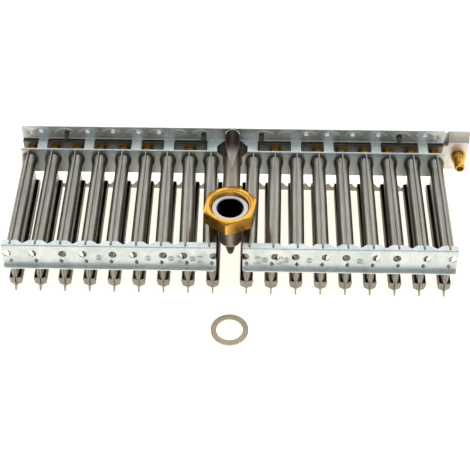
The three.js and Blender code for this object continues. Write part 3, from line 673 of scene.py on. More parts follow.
def bent_sheet(name, line, x0, x1, outline, holes, thickness, extra=(), relief=None):
    """A sheet bent along one line all the way from x0 to x1."""
    cuts = [((x0 - 1, s), (x1 + 1, s)) for s in line.lengths[1:-1]]

    def put(x, s):
        point, normal = line.at(s)
        return Vector((x, point.x, point.y)), Vector((0, normal.x, normal.y))

    verts, faces = sheet_mesh(outline, holes, cuts, list(extra), put, relief, thickness)
    return mesh_object(name, verts, faces, SHARP_SHEET)


def ring_points(cx, cy, radii, steps=16):
    points = [(cx, cy)]
    for radius in radii:
        points += circle(cx, cy, radius, steps)
    return points


# ---------------------------------------------------------------- burner bars


def bar_place(index):
    """Side, count from the inlet and centre line of a bar, numbered from the left."""
    if index < BARS_PER_SIDE:
        step = BARS_PER_SIDE - 1 - index
        return -1, step, -(FIRST_BAR_X + BAR_PITCH * step)
    step = index - BARS_PER_SIDE
    return 1, step, FIRST_BAR_X + BAR_PITCH * step


def tube_lean(index, y):
    side, step, _ = bar_place(index)
    if step >= len(TUBE_LEAN_FRONT):
        return 0.0
    return side * lerp(TUBE_LEAN_FRONT[step], TUBE_LEAN_REAR[step], y / REAR_FOLD_Y)


def lean_at(index, y, z):
    share = min(max((z - SKIRT_TOP) / (TUBE_Z - SKIRT_TOP), 0.0), 1.0)
    return tube_lean(index, y) * share


TUBE_ANGLES = (84, 74, 63, 51, 38, 25, 11, -3, -17, -31, -44, -55, -63)
NECK_LINES = ((2.75, 30.3), (2.45, 28.9), (2.4, 24.0), (2.4, 18.0), (2.4, 13.0), (2.45, 9.0))
FLOOR_LINES = ((2.7, 7.0), (3.2, 6.6), (3.9, 6.6), (4.2, 7.0))
SKIRT_LINES = (
    (4.25, 10.6), (4.45, 11.1), (4.8, 11.1), (5.0, 10.7), (5.0, 9.0),
    (5.35, 8.6), (5.35, 7.8), (5.0, 7.4), (5.0, 4.5), (4.8, 3.9))
ROOF_LINES = ((2.8, 3.0), (1.0, 2.2), (0.6, 1.7))
KEEL_LINES = ((0.6, 0.2), (0.45, 0.0))
FRONT_WALL_Z = 7.8
# Y of the seam flange's front edge at the fin, the tube, the head and neck, and the keel.
FIN_FRONT = 1.6
TUBE_FRONT = 1.8
HEAD_FRONT = -6.9
NECK_FRONT = -2.0
KEEL_FRONT = -7.2
# Y where the bulge begins at the tube, the head and the neck, and how far it takes to rise.
BULGE_TUBE = 3.0
BULGE_HEAD = -3.2
BULGE_NECK = 1.5
BULGE_REACH = {"tube": 6.5, "neck": 3.0}
BULGE_SHORT_REACH = 1.5
BULGE_ANGLES = (24, 48, 70, 90)
# The lines' points are close together up to this Y.
FINE_END = 9.5
# The neck swells a little behind the front edge.
SWELL = 0.8
SWELL_MIDDLE = 5.0
SWELL_LENGTH = 4.5
SWELL_END = 14.0


def front_edge(z):
    """Where the seam flange ends in front at a height."""
    if z > SEAM_TOP - 1:
        return FIN_FRONT
    if z > NECK_TOP:
        return TUBE_FRONT
    if z > KEEL_TOP:
        return lerp(HEAD_FRONT, NECK_FRONT, smooth((z - KEEL_TOP) / (NECK_TOP - KEEL_TOP)))
    return KEEL_FRONT


def bulge_start(z):
    """Where the pressed bulge rises out of the flange at a height."""
    if z > NECK_TOP:
        return BULGE_TUBE
    return lerp(BULGE_HEAD, BULGE_NECK, smooth((z - HEAD_TOP) / (NECK_TOP - HEAD_TOP)))


def bar_lines():
    """The long lines of half a bar, top to bottom: (half width, height, kind)."""
    lines = [(SEAM_HALF, SEAM_TOP, "seam"), (SEAM_HALF, TUBE_Z + TUBE_RADIUS + 0.4, "seam")]
    for angle in TUBE_ANGLES:
        turn = math.radians(angle)
        lines.append((TUBE_RADIUS * math.cos(turn), TUBE_Z + TUBE_RADIUS * math.sin(turn), "tube"))
    lines += [(x, z, "neck") for x, z in NECK_LINES]
    lines += [(x, z, "floor") for x, z in FLOOR_LINES]
    lines += [(x, z, "skirt") for x, z in SKIRT_LINES]
    lines += [(x, z, "roof") for x, z in ROOF_LINES]
    lines += [(x, z, "keel") for x, z in KEEL_LINES]
    return lines


def bell_scale(y):
    grow = smooth((y - (BAR_END - BELL_LENGTH)) / BELL_LENGTH) ** BELL_CURVE
    return lerp(1.0, BELL_RADIUS / TUBE_RADIUS, grow)


def seam_height(y, z):
    """The fin's top corner slopes down in front, and its root rises over the bell."""
    if z > SEAM_TOP - 0.5:
        return z - 1.3 * (1 - smooth((y - 1.6) / 3.4))
    return TUBE_Z + (z - TUBE_Z) * bell_scale(y)


LONG_STATIONS = (14.0, 34.0, 60.0, 84.0, 96.0, 99.5, 102.0, 104.0, 105.8, 107.2, MOUTH_Y, BAR_END)
BORE_STATIONS = (MOUTH_Y, 107.0, 104.0, 100.0, 94.0, 40.0)


def line_points(width, z, kind):
    """The points of one long line, from the front edge to the rear."""
    start = bulge_start(z)
    if kind == "keel" or kind == "seam":
        front = front_edge(z)
        ys = [lerp(front, FINE_END, i / 8) for i in range(9)] + list(LONG_STATIONS)
        return [(width, y, seam_height(y, z) if kind == "seam" else z) for y in ys]
    reach = BULGE_REACH.get(kind, BULGE_SHORT_REACH)
    points = [(SEAM_HALF, front_edge(z), z), (SEAM_HALF, start, z)]
    for degrees in BULGE_ANGLES:
        turn = math.radians(degrees)
        x = SEAM_HALF + (width - SEAM_HALF) * math.sin(turn)
        points.append((x, start + reach * (1 - math.cos(turn)), z))
    end = start + reach
    for y in (end + 0.3, end + 0.6, lerp(end, FINE_END, 0.7)):
        points.append((width, y, z))
    points += [(width, y, z) for y in LONG_STATIONS]
    shaped = []
    for i, (x, y, height) in enumerate(points):
        if kind == "floor" and i < 7:
            height = max(height, FRONT_WALL_Z)
        if kind == "tube":
            scale = bell_scale(y)
            y = min(y, MOUTH_Y)
            x = max(x * scale, SEAM_HALF)
            height = TUBE_Z + (height - TUBE_Z) * scale
        if kind == "neck" and y < SWELL_END and x > 1:
            x += SWELL * math.exp(-((y - SWELL_MIDDLE) / SWELL_LENGTH) ** 2)
        shaped.append((x, y, height))
    return shaped


def burner_bar(index):
    """One bar: two pressed halves with tube, neck, skirted head and keel, open at the bell."""
    _, _, centre = bar_place(index)
    lines = [line_points(*line) for line in bar_lines()]
    stations = len(lines[0])
    verts = []
    faces = []

    def add(x, y, z):
        verts.append((centre + lean_at(index, y, z) + x, y, z))
        return len(verts) - 1

    sides = {side: [[add(side * x, y, z) for x, y, z in line] for line in lines] for side in (1, -1)}
    for side, grid in sides.items():
        for upper, lower in zip(grid, grid[1:]):
            for i in range(stations - 1):
                face = (upper[i], upper[i + 1], lower[i + 1], lower[i])
                faces.append(face if side > 0 else face[::-1])
    right, left = sides[1], sides[-1]
    for k in range(len(lines) - 1):
        faces.append((right[k][0], right[k + 1][0], left[k + 1][0], left[k][0]))
    for k in (0, len(lines) - 1):
        for i in range(stations - 1):
            faces.append((right[k][i], right[k][i + 1], left[k][i + 1], left[k][i]))
    bore_and_rear(faces, right, left, add)
    ports(verts, faces, centre)
    return mesh_object(f"bar_{index + 1:02d}", verts, faces, SHARP_BAR)


def bore_and_rear(faces, right, left, add):
    """The rear of a bar: an open bell mouth with its inner wall, and the closed neck and head."""
    first_tube = 2
    last_tube = first_tube + len(TUBE_ANGLES) - 1
    rings = {1: [], -1: []}
    for y in BORE_STATIONS:
        radius = TUBE_RADIUS * bell_scale(y) - TUBE_WALL
        top = add(0, y, TUBE_Z + radius)
        bottom = add(0, y, TUBE_Z - radius)
        for side in (1, -1):
            ring = [top]
            for k in range(1, len(TUBE_ANGLES) - 1):
                turn = math.radians(lerp(90, -90, k / (len(TUBE_ANGLES) - 1)))
                ring.append(add(side * radius * math.cos(turn), y, TUBE_Z + radius * math.sin(turn)))
            ring.append(bottom)
            rings[side].append(ring)
    for side, grid in ((1, right), (-1, left)):
        for near, far in zip(rings[side], rings[side][1:]):
            for a, b, c, d in zip(near, near[1:], far[1:], far):
                faces.append((a, b, c, d))
        mouth = rings[side][0]
        for k in range(len(mouth) - 1):
            outer = grid[first_tube + k][-1]
            outer_next = grid[first_tube + k + 1][-1]
            faces.append((outer, outer_next, mouth[k + 1], mouth[k]))
    faces.append(tuple(rings[1][-1] + rings[-1][-1][-2:0:-1]))
    faces.append((right[0][-1], right[1][-1], left[1][-1], left[0][-1]))
    faces.append((right[first_tube - 1][-1], right[first_tube][-1], rings[1][0][0], left[first_tube][-1],
                  left[first_tube - 1][-1]))
    faces.append((right[last_tube][-1], rings[1][0][-1], left[last_tube][-1]))
    for k in range(last_tube, len(right) - 1):
        faces.append((right[k][-1], right[k + 1][-1], left[k + 1][-1], left[k][-1]))


PORT_PITCH = 3.4
PORT_HALF = 0.45
FIRST_PORT_Y = 6
# A port's two ends on the slope of the roof, and its reach into and out of the sheet.
PORT_ENDS = ((1.3, 2.25), (4.3, 3.6))
PORT_IN = 0.2
PORT_OUT = 0.35


def ports(verts, faces, centre):
    """Pressed flame ports: pairs of short ribs across both slopes of the roof."""
    count = int((BAR_END - 14) / PORT_PITCH)
    for side in (1, -1):
        for i in range(count):
            y = FIRST_PORT_Y + i * PORT_PITCH
            a = len(verts)
            for x, z in PORT_ENDS:
                for dy in (-PORT_HALF, PORT_HALF):
                    verts.append((centre + side * x, y + dy, z + PORT_IN))
                    verts.append((centre + side * x, y + dy, z - PORT_OUT))
            faces.extend([
                (a, a + 2, a + 3, a + 1), (a + 4, a + 5, a + 7, a + 6), (a, a + 1, a + 5, a + 4),
                (a + 2, a + 6, a + 7, a + 3), (a, a + 4, a + 6, a + 2), (a + 1, a + 3, a + 7, a + 5),
            ])


def bar_painted_shade(index):
    """Painted shade in the shadowed troughs beside the flame head, and lighter on the sides of the neck."""
    centre = bar_place(index)[2]

    def amount(x, y, z):
        away = abs(x - centre - lean_at(index, y, z))
        if y < 1.5 or y > BAR_END - 0.5:
            return 0.0
        if z < 7.6 and 2.5 < away < 4.24:
            return TROUGH_SHADE
        if z < 29.5 and away < 2.9:
            return lerp(NECK_SHADE, 0.0, smooth((z - 8.0) / 18.0))
        return 0.0

    return amount


def build_bars():
    for index in range(2 * BARS_PER_SIDE):
        bar = burner_bar(index)
        # Painted shade in the bar's shadowed troughs and on its neck.
        add_painted_shade(bar, bar_painted_shade(index))
        finish_piece(bar, "burner_steel", "burner", f"burner_bar_{index + 1:02d}")


# ---------------------------------------------------------------- front brackets

FRONT_LINE = BentLine(
    ((FLANGE_DEPTH, SEAM_TOP), (0.0, SEAM_TOP), (FACE_FOOT_Y, FACE_FOOT_Z), (LIP_FRONT_Y, FACE_FOOT_Z)), 0.9)
FACE_START = FRONT_LINE.length_to((0.0, SEAM_TOP))
ROUND_HOLE_DROP = 7.92
ROUND_HOLE_RADIUS = 3.2
DIAMOND_DROP = 15.03
DIAMOND_HALF_WIDTH = 1.9
DIAMOND_HALF_HEIGHT = 2.5
DIMPLE_DROP = 11.0
STAMP_DROP = 11.4
# Radius and depth of the pressed rings.
DIMPLE_PRESS = (2.3, -0.8)
STAMP_PRESS = (3.6, 0.7)
# The four dashes of a stamp, as offsets from its middle, and half of a dash.
DASHES = ((-1.6, -3.2), (1.2, -3.2), (-1.6, 3.0), (1.2, 3.0))
DASH_HALF_WIDTH = 0.5
DASH_HALF_HEIGHT = 0.25
HOLE_SHIFTS = (-1.2, 2.5, -1.2, 2.5, -1.2, 2.5, -1.2, 2.5, 2.5)
# Half of a notch in the flange's rear edge: distance from its middle and depth.
NOTCH = ((5.6, 0.0), (4.8, 0.18), (4.0, 0.62), (1.3, 2.75), (0.6, 3.25), (0.0, 3.4))
# Clinched dimples and four-dash stamps by their distance from the inlet plane.
DIMPLES = {-1: (29.2, 46.0, 64.4, 103.4), 1: (28.3, 44.9, 63.3, 103.3)}
STAMPS = {-1: (23.2, 38.7), 1: (22.6, 40.6)}


def front_features(side):
    """Where the pressed marks are: (x, drop below the fold, radius, depth)."""
    marks = [(side * x, DIMPLE_DROP, *DIMPLE_PRESS) for x in DIMPLES[side]]
    return marks + [(side * x, STAMP_DROP, *STAMP_PRESS) for x in STAMPS[side]]


def front_relief(side):
    marks = front_features(side)

    def relief(x, s):
        lift = 0.0
        for cx, drop, radius, depth in marks:
            away = math.hypot(x - cx, s - FACE_START - drop) / radius
            if away < 1.3:
                lift += depth * math.exp(-((away - 0.75) / 0.28) ** 2)
                lift -= 0.6 * depth * math.exp(-(away / 0.3) ** 2)
        return lift

    return relief


def front_outline(side):
    """The flat pattern of a front bracket, with seam slots and notches in its rear edge."""
    bars = [bar_place(i) for i in range(2 * BARS_PER_SIDE)]
    indexes = [i for i, (s, _, _) in enumerate(bars) if s == side]
    x0 = FRONT_INNER_X if side > 0 else -FRONT_OUTER_X
    x1 = FRONT_OUTER_X if side > 0 else -FRONT_INNER_X
    slot = SEAM_HALF + GAP
    edge = [(x0, 0.0)]
    for i in indexes:
        _, step, x = bars[i]
        seam = x + tube_lean(i, 3)
        edge += [(seam - 1.5, 0.0), (seam - slot, 1.0), (seam - slot, 4.7)]
        edge += [(seam + slot, 4.7), (seam + slot, 1.0), (seam + 1.5, 0.0)]
        middle = x + BAR_PITCH / 2
        first_gap = step == 0 if side > 0 else step == 1
        if i != indexes[-1] and not first_gap:
            edge += [(middle - away, depth) for away, depth in NOTCH]
            edge += [(middle + away, depth) for away, depth in reversed(NOTCH[:-1])]
    edge.append((x1, 0.0))
    total = FRONT_LINE.total
    inner = 2.0
    if side > 0:
        foot = [(x1, total - 0.5), (x1 - 0.5, total), (x0 + inner, total), (x0, total - inner)]
    else:
        foot = [(x1, total - inner), (x1 - inner, total), (x0 + 0.5, total), (x0, total - 0.5)]
    return edge + foot


def front_holes(side):
    holes = []
    for i in range(2 * BARS_PER_SIDE):
        bar_side, step, x = bar_place(i)
        if bar_side != side:
            continue
        middle = x + side * HOLE_SHIFTS[step]
        holes.append(circle(middle, FACE_START + ROUND_HOLE_DROP, ROUND_HOLE_RADIUS, 28))
        s = FACE_START + DIAMOND_DROP
        across = DIAMOND_HALF_WIDTH
        along = DIAMOND_HALF_HEIGHT
        holes.append([(x - across, s), (x, s - along), (x + across, s), (x, s + along)])
    for x in STAMPS[side]:
        for dx, ds in DASHES:
            x0 = side * x + dx - DASH_HALF_WIDTH
            x1 = side * x + dx + DASH_HALF_WIDTH
            s0 = FACE_START + STAMP_DROP + ds - DASH_HALF_HEIGHT
            s1 = FACE_START + STAMP_DROP + ds + DASH_HALF_HEIGHT
            holes.append([(x0, s0), (x1, s0), (x1, s1), (x0, s1)])
    return holes


def build_front_brackets():
    for side, word in ((-1, "left"), (1, "right")):
        x0 = FRONT_INNER_X if side > 0 else -FRONT_OUTER_X
        x1 = FRONT_OUTER_X if side > 0 else -FRONT_INNER_X
        extra = []
        for cx, drop, radius, _ in front_features(side):
            radii = (0.3 * radius, 0.55 * radius, 0.75 * radius, 0.95 * radius, 1.25 * radius)
            extra += ring_points(cx, FACE_START + drop, radii)
        bracket = bent_sheet(f"bracket_front_{word}", FRONT_LINE, x0, x1, front_outline(side),
                             front_holes(side), SHEET, extra, front_relief(side))
        finish_piece(bracket, "zinc_steel", "burner", f"front_bracket_{word}")


# ---------------------------------------------------------------- rear bracket

REAR_LINE = BentLine(
    ((REAR_FOLD_Y, PLATE_BOTTOM), (REAR_FOLD_Y, SEAM_TOP), (WALL_Y, SEAM_TOP), (WALL_Y, WALL_TOP)), 0.9)
REAR_FOLD = REAR_LINE.length_to((REAR_FOLD_Y, SEAM_TOP))
WALL_FOLD = REAR_LINE.length_to((WALL_Y, SEAM_TOP))
ARCH_FOOT = 5.4
ARCH_RISE = 5.6
ARCH_LIFT = 0.75
ARCH_WIDTH = 0.6
ARCH_FADE = 1.5
WALL_DIMPLE_HEIGHT = 5.2
WALL_DIMPLE_DEPTH = 0.5
WALL_DIMPLE_RADIUS = 0.9
WINDOW_FRONT = REAR_FOLD + 1.2
WINDOW_BACK = WALL_FOLD - 0.4


def tube_rear_x(index):
    return bar_place(index)[2] + tube_lean(index, REAR_FOLD_Y)


def arch_height(x, x0, x1):
    """Height above the wall's fold of the arched rib between two bars."""
    t = min(max((x - x0) / (x1 - x0), 0.0), 1.0)
    return ARCH_FOOT + ARCH_RISE * math.sin(math.pi * t) ** 0.6


def arches():
    spans = []
    for index in range(2 * BARS_PER_SIDE - 1):
        if index == BARS_PER_SIDE - 1:
            continue
        spans.append((tube_rear_x(index) + 1.2, tube_rear_x(index + 1) - 1.2))
    return spans


def wall_relief(x, s):
    """Arched ribs between the bars and a small dimple over each bar."""
    height = s - WALL_FOLD
    if height < 2:
        return 0.0
    lift = 0.0
    for x0, x1 in arches():
        if x0 - 1 < x < x1 + 1:
            away = (height - arch_height(x, x0, x1)) / ARCH_WIDTH
            fade = smooth((x - x0) / ARCH_FADE) * smooth((x1 - x) / ARCH_FADE)
            lift += ARCH_LIFT * fade * math.exp(-away * away)
    for index in range(2 * BARS_PER_SIDE):
        along = (height - WALL_DIMPLE_HEIGHT) * 0.7
        away = math.hypot(x - tube_rear_x(index), along) / WALL_DIMPLE_RADIUS
        lift -= WALL_DIMPLE_DEPTH * math.exp(-away * away)
    return lift


def wall_points():
    points = []
    for x0, x1 in arches():
        for i in range(15):
            x = lerp(x0 + 0.3, x1 - 0.3, i / 14)
            for offset in (-1.5, -0.75, 0.0, 0.75, 1.5):
                height = arch_height(x, x0, x1) + offset
                if 1.5 < height < WALL_TOP - SEAM_TOP - 0.8:
                    points.append((x, WALL_FOLD + height))
    for index in range(2 * BARS_PER_SIDE):
        points += ring_points(tube_rear_x(index), WALL_FOLD + WALL_DIMPLE_HEIGHT, (0.5, 1.0, 1.7), 8)
    return points


def rear_holes():
    holes = []
    centre = REAR_FOLD - (SEAM_TOP - TUBE_Z)
    for index in range(2 * BARS_PER_SIDE):
        holes.append(circle(tube_rear_x(index), centre, BELL_OPENING, 32))
    for side in (-1, 1):
        for near, far in STRIP_WINDOWS[:-1]:
            x0, x1 = sorted((side * near, side * far))
            holes.append(rounded_rectangle(x0, x1, WINDOW_FRONT, WINDOW_BACK, 1.0))
        for x in WALL_HOLES:
            holes.append(circle(side * x, WALL_FOLD + WALL_HOLE_Z - SEAM_TOP, WALL_HOLE, 16))
    for x in SCREW_PLACES:
        holes.append(circle(x, WALL_FOLD + SCREW_Z - SEAM_TOP, SCREW_HOLE, 16))
    holes.append(pipe_hole())
    return holes


def pipe_hole():
    """The octagon folded over the bend, drawn in to a throat round the pipe."""
    throat = PIPE_RADIUS + THROAT_CLEARANCE
    shoulder = REAR_FOLD - SHEET
    right = [
        (throat, REAR_FOLD - (SEAM_TOP - PIPE_Z) - throat),
        (throat, shoulder - OCTAGON_HALF + throat),
        (OCTAGON_HALF, shoulder),
        (OCTAGON_HALF, WALL_FOLD - OCTAGON_CORNER),
        (OCTAGON_NARROW, WALL_FOLD - 0.5),
    ]
    return right + [(-x, s) for x, s in reversed(right)]


def rear_outline():
    """The flat pattern of the rear bracket, its outer windows open at the ends."""
    total = REAR_LINE.total
    near = STRIP_WINDOWS[-1][0]
    right = [(REAR_HALF, 0.6), (REAR_HALF, WINDOW_FRONT), (near, WINDOW_FRONT), (near, WINDOW_BACK),
             (REAR_HALF, WINDOW_BACK), (REAR_HALF, total)]
    left = [(-x, s) for x, s in reversed(right)]
    return [(-REAR_HALF + 0.6, 0.0), (REAR_HALF - 0.6, 0.0)] + right + left


def build_rear_bracket():
    bracket = bent_sheet("bracket_rear", REAR_LINE, -REAR_HALF, REAR_HALF, rear_outline(), rear_holes(),
                         -SHEET, wall_points(), wall_relief_outward)
    finish_piece(bracket, "zinc_steel", "burner", "rear_bracket", "bell_plate")


def wall_relief_outward(x, s):
    return -wall_relief(x, s)


# ---------------------------------------------------------------- manifold


def blend_lines(main, end, start_x, end_x):
    """Placement on one bent line left of start_x, on another right of end_x."""

    def put(x, s):
        share = s / main.total
        t = smooth((x - start_x) / (end_x - start_x))
        a, na = main.at(s)
        b, nb = end.at(share * end.total)
        point = a.lerp(b, t)
        normal = na.lerp(nb, t).normalized()
        return Vector((x, point.x, point.y)), Vector((0, normal.x, normal.y))

    return put


def notched_edge(top, top_z):
    """The U notches behind the wall's small holes, right to left along a flange's top edge."""
    points = []
    radius = FLANGE_NOTCH_HALF
    centre = top - (top_z - FLANGE_NOTCH_BOTTOM) + radius
    for x in sorted([side * place for side in (-1, 1) for place in WALL_HOLES], reverse=True):
        points.append((x + radius, top))
        points += arc_points(x, centre, radius, 0, -180, 8)
        points.append((x - radius, top))
    return points


def manifold_painted_shade(x, y, z):
    """Painted shade on the face behind the pipe's opening, lighter behind the windows and on the ledge,
    where the brackets shadow it.
    """
    if y > MANIFOLD_FACE_Y + MANIFOLD_SHEET and z > LEDGE_Z + 0.5 or abs(x) > REAR_HALF:
        return 0.0
    if abs(x) < OCTAGON_HALF + 2:
        return OCTAGON_SHADE
    return LEDGE_SHADE if z > LEDGE_Z - 1.5 else WINDOW_SHADE


def build_manifold_front():
    flange = MANIFOLD_FLANGE_Y
    main = BentLine(((MANIFOLD_FACE_Y, MANIFOLD_BOTTOM), (MANIFOLD_FACE_Y, LEDGE_Z), (flange, LEDGE_Z),
                     (flange, FRONT_FLANGE_TOP)), 1.0)
    rise = flange - MANIFOLD_FACE_Y
    end = BentLine(((MANIFOLD_FACE_Y, MANIFOLD_BOTTOM), (MANIFOLD_FACE_Y, END_LEDGE_Z),
                    (flange, END_LEDGE_Z + rise), (flange, END_FLANGE_TOP)), 1.0)
    x0, x1 = -REAR_HALF, MANIFOLD_RIGHT
    total = main.total
    holes = []
    for index in range(2 * BARS_PER_SIDE):
        holes.append(circle(tube_rear_x(index), TUBE_Z - MANIFOLD_BOTTOM, JET_HOLE, 16))
    for x in SCREW_PLACES:
        holes.append(circle(x, total - (FRONT_FLANGE_TOP - SCREW_Z), SCREW_HOLE, 16))
    holes.append(circle(0.0, PIPE_Z - MANIFOLD_BOTTOM, SPIGOT_RADIUS + 0.3, 24))
    holes.append(circle(NIPPLE_X, (NIPPLE_Z - MANIFOLD_BOTTOM) * 0.94, 3.3, 16))
    cuts = [((x0 - 1, s), (x1 + 1, s)) for s in main.lengths[1:-1]]
    cuts += [((x, -1), (x, total + 1)) for x in (181.4, 182.2, 183.0, 183.8, 184.6)]
    cuts += [((x, -1), (x, total + 1)) for x in (-OCTAGON_HALF - 2, OCTAGON_HALF + 2, REAR_HALF)]
    put = blend_lines(main, end, *JOGGLE)
    outline = [(x0, 0.5), (x0 + 0.5, 0.0), (x1 - 2.0, 0.0), (x1, 2.0), (x1, total - 1.0), (x1 - 1.0, total)]
    outline += notched_edge(total, FRONT_FLANGE_TOP)
    outline += [(x0 + 0.5, total), (x0, total - 0.5)]
    verts, faces = sheet_mesh(outline, holes, cuts, [], put, None, -MANIFOLD_SHEET)
    shell = mesh_object("manifold_front", verts, faces, SHARP_SHEET)
    # Painted shade on the manifold face where the brackets shadow it.
    add_painted_shade(shell, manifold_painted_shade)
    finish_piece(shell, "manifold_steel", "burner", "manifold_front_shell")


def build_manifold_rear():
    """A flat flange with the long gas channel pressed out of it backwards."""
    y0 = MANIFOLD_FLANGE_Y + MANIFOLD_SHEET + GAP
    x0, x1 = -REAR_HALF, MANIFOLD_RIGHT
    low, high, slope = CHANNEL_LOW, CHANNEL_HIGH, CHANNEL_SLOPE
    left, right = x0 + 8, x1 - 3
    depth = CHANNEL_DEPTH - MANIFOLD_SHEET

    def relief(x, z):
        across = smooth((z - low) / slope) * smooth((high - z) / slope)
        along = smooth((x - left) / slope) * smooth((right - x) / slope)
        return depth * across * along

    def put(x, z):
        return Vector((x, y0 + MANIFOLD_SHEET, z)), Vector((0, -1, 0))

    steps = (0.0, 0.12, 0.25, 0.4, 0.6, 0.75, 0.88, 1.0)
    levels = [low + slope * t for t in steps] + [high - slope * t for t in steps]
    columns = [left + slope * t for t in steps] + [right - slope * t for t in steps]
    cuts = [((x0 - 1, z), (x1 + 1, z)) for z in levels]
    cuts += [((x, MANIFOLD_BOTTOM - 1), (x, WALL_TOP + 1)) for x in columns]
    holes = [circle(x, SCREW_Z, SCREW_HOLE, 16) for x in SCREW_PLACES]
    outline = [(x0, MANIFOLD_BOTTOM), (x1 - 2, MANIFOLD_BOTTOM), (x1, MANIFOLD_BOTTOM + 2)]
    outline.append((x1, REAR_FLANGE_TOP))
    outline += notched_edge(REAR_FLANGE_TOP, REAR_FLANGE_TOP)
    outline.append((x0, REAR_FLANGE_TOP))
    verts, faces = sheet_mesh(outline, holes, cuts, [], put, relief, MANIFOLD_SHEET)
    shell = mesh_object("manifold_rear", verts, faces, SHARP_SHEET)
    finish_piece(shell, "manifold_steel", "burner", "manifold_rear_shell")


JET_PROFILE = (
    (0.7, -8.6), (1.7, -8.6), (2.0, -8.3), (2.4, -5.3), (4.8, -5.0), (5.4, -4.6), (5.4, -0.7), (5.0, -0.3),
    (2.4, -0.3), (2.4, 2.8), (2.2, 3.0), (0.7, 3.0))
JET_FLATS = 9.35


def build_injectors():
    """Brass jets: spigot, hexagon with a turned edge, and a tapered nose with a fine bore."""
    for index in range(2 * BARS_PER_SIDE):
        centre = (tube_rear_x(index), MANIFOLD_FACE_Y, TUBE_Z)
        jet = turned(f"jet_{index + 1:02d}", JET_PROFILE, 36, "Y", centre, SHARP_JET, JET_FLATS)
        finish_piece(jet, "brass", "burner", f"injector_{index + 1:02d}")


# ---------------------------------------------------------------- inlet


def build_pipe():
    start = INLET_Y + ELBOW_RADIUS + 1.2
    end = MANIFOLD_FACE_Y + 2.5
    outer = [(PIPE_RADIUS, start), (PIPE_RADIUS, PIPE_END_Y - 1.0)]
    for i in range(1, 7):
        t = i / 6
        outer.append((lerp(PIPE_RADIUS, SPIGOT_RADIUS, smooth(t)), PIPE_END_Y - 1.0 + 3.0 * t))
    outer.append((SPIGOT_RADIUS, end))
    inner = [(radius - PIPE_WALL, y) for radius, y in reversed(outer)]
    pipe = turned("supply_pipe", outer + inner, 48, "Y", (0, 0, PIPE_Z))
    finish_piece(pipe, "pipe_steel", "burner", "gas_pipe")


def build_saddle():
    """The pointed tongue on the pipe and the open channel that rises from it to the wall."""
    base = PIPE_Z + PIPE_RADIUS + GAP
    half, tip_y, fold_y = SADDLE_HALF, SADDLE_TIP_Y, SADDLE_FOLD_Y
    depth = WALL_Y - GAP - fold_y
    steps = 16

    def arc(shrink, z):
        points = []
        for i in range(steps + 1):
            angle = math.pi * i / steps
            y = fold_y + (depth - shrink) * math.sin(angle)
            points.append(((half - shrink) * math.cos(angle), y, z))
        return points

    verts = []
    faces = []

    def loop(points):
        first = len(verts)
        verts.extend(points)
        return list(range(first, first + len(points)))

    top = base + SHEET
    outer_low = loop(arc(0, base))
    outer_high = loop(arc(0, WALL_TOP))
    inner_high = loop(arc(SHEET, WALL_TOP))
    inner_low = loop(arc(SHEET, top))
    for i in range(steps):
        faces.append((outer_low[i], outer_low[i + 1], outer_high[i + 1], outer_high[i]))
        faces.append((outer_high[i], outer_high[i + 1], inner_high[i + 1], inner_high[i]))
        faces.append((inner_high[i], inner_high[i + 1], inner_low[i + 1], inner_low[i]))
    tip_low, tip_high = loop([(0.0, tip_y, base), (0.0, tip_y, top)])
    right_high, left_high = loop([(half, fold_y, top), (-half, fold_y, top)])
    faces.append((tip_low, *outer_low[::-1]))
    faces.append((tip_high, right_high, *inner_low, left_high))
    faces.append((tip_low, outer_low[0], right_high, tip_high))
    faces.append((tip_low, tip_high, left_high, outer_low[-1]))
    faces.append((outer_low[0], outer_high[0], inner_high[0], inner_low[0], right_high))
    faces.append((outer_low[-1], left_high, inner_low[-1], inner_high[-1], outer_high[-1]))
    saddle = mesh_object("saddle", verts, faces)
    finish_piece(saddle, "pipe_steel", "burner", "pipe_saddle")


def bore_painted_shade(x, y, z):
    """Painted shade on the walls of the gas way down through collar and elbow, which lie in deep shadow."""
    away = math.hypot(x, y - INLET_Y)
    if away < ELBOW_BORE + 0.1 and z < ELBOW_TOP - 0.1:
        return BORE_SHADE
    return BORE_SHADE if away < COLLAR_BORE + 0.1 and z > ELBOW_TOP - 1.5 else 0.0


def build_elbow():
    dome_z = ELBOW_FOOT_Z + ELBOW_RADIUS
    profile = [(0, 6.0), (1.8, 6.0), (2.3, 6.6), (3.4, 10.8), (4.0, 15.4), (4.2, ELBOW_FOOT_Z + 0.6)]
    for degrees in range(-64, 1, 8):
        angle = math.radians(degrees)
        profile.append((ELBOW_RADIUS * math.cos(angle), dome_z + ELBOW_RADIUS * math.sin(angle)))
    profile += [(ELBOW_RADIUS, ELBOW_TOP - 0.4), (ELBOW_RADIUS - 0.4, ELBOW_TOP), (0, ELBOW_TOP)]
    centre = (0, INLET_Y, 0)
    body = turned("elbow", profile, 56, "Z", centre)
    middle = (0, INLET_Y, PIPE_Z)
    sleeve_profile = ((0, 4), (SLEEVE_RADIUS, 4), (SLEEVE_RADIUS, 19.4), (SLEEVE_RADIUS - 0.6, 20), (0, 20))
    sleeve = turned("sleeve", sleeve_profile, 48, "Y", middle)
    body = combined(body, [sleeve], "UNION")
    bore = turned("bore", ((0, 30), (7.0, 30), (ELBOW_BORE, 33), (ELBOW_BORE, 70), (0, 70)), 56, "Z", centre)
    seat_radius = PIPE_RADIUS + 0.25
    seat_start = ELBOW_RADIUS + 0.8
    seat = turned("seat", (
        (0, seat_start), (seat_radius, seat_start), (seat_radius, 24), (0, 24)), 48, "Y", middle)
    way_radius = PIPE_RADIUS - PIPE_WALL
    way = turned("way", ((0, 0), (way_radius, 0), (way_radius, 24), (0, 24)), 48, "Y", middle)
    body = combined(body, [bore, seat, way], "DIFFERENCE")
    # Painted shade down the elbow's deep, shadowed bore.
    add_painted_shade(body, bore_painted_shade)
    finish_piece(body, "pipe_steel", "burner", "inlet_elbow")


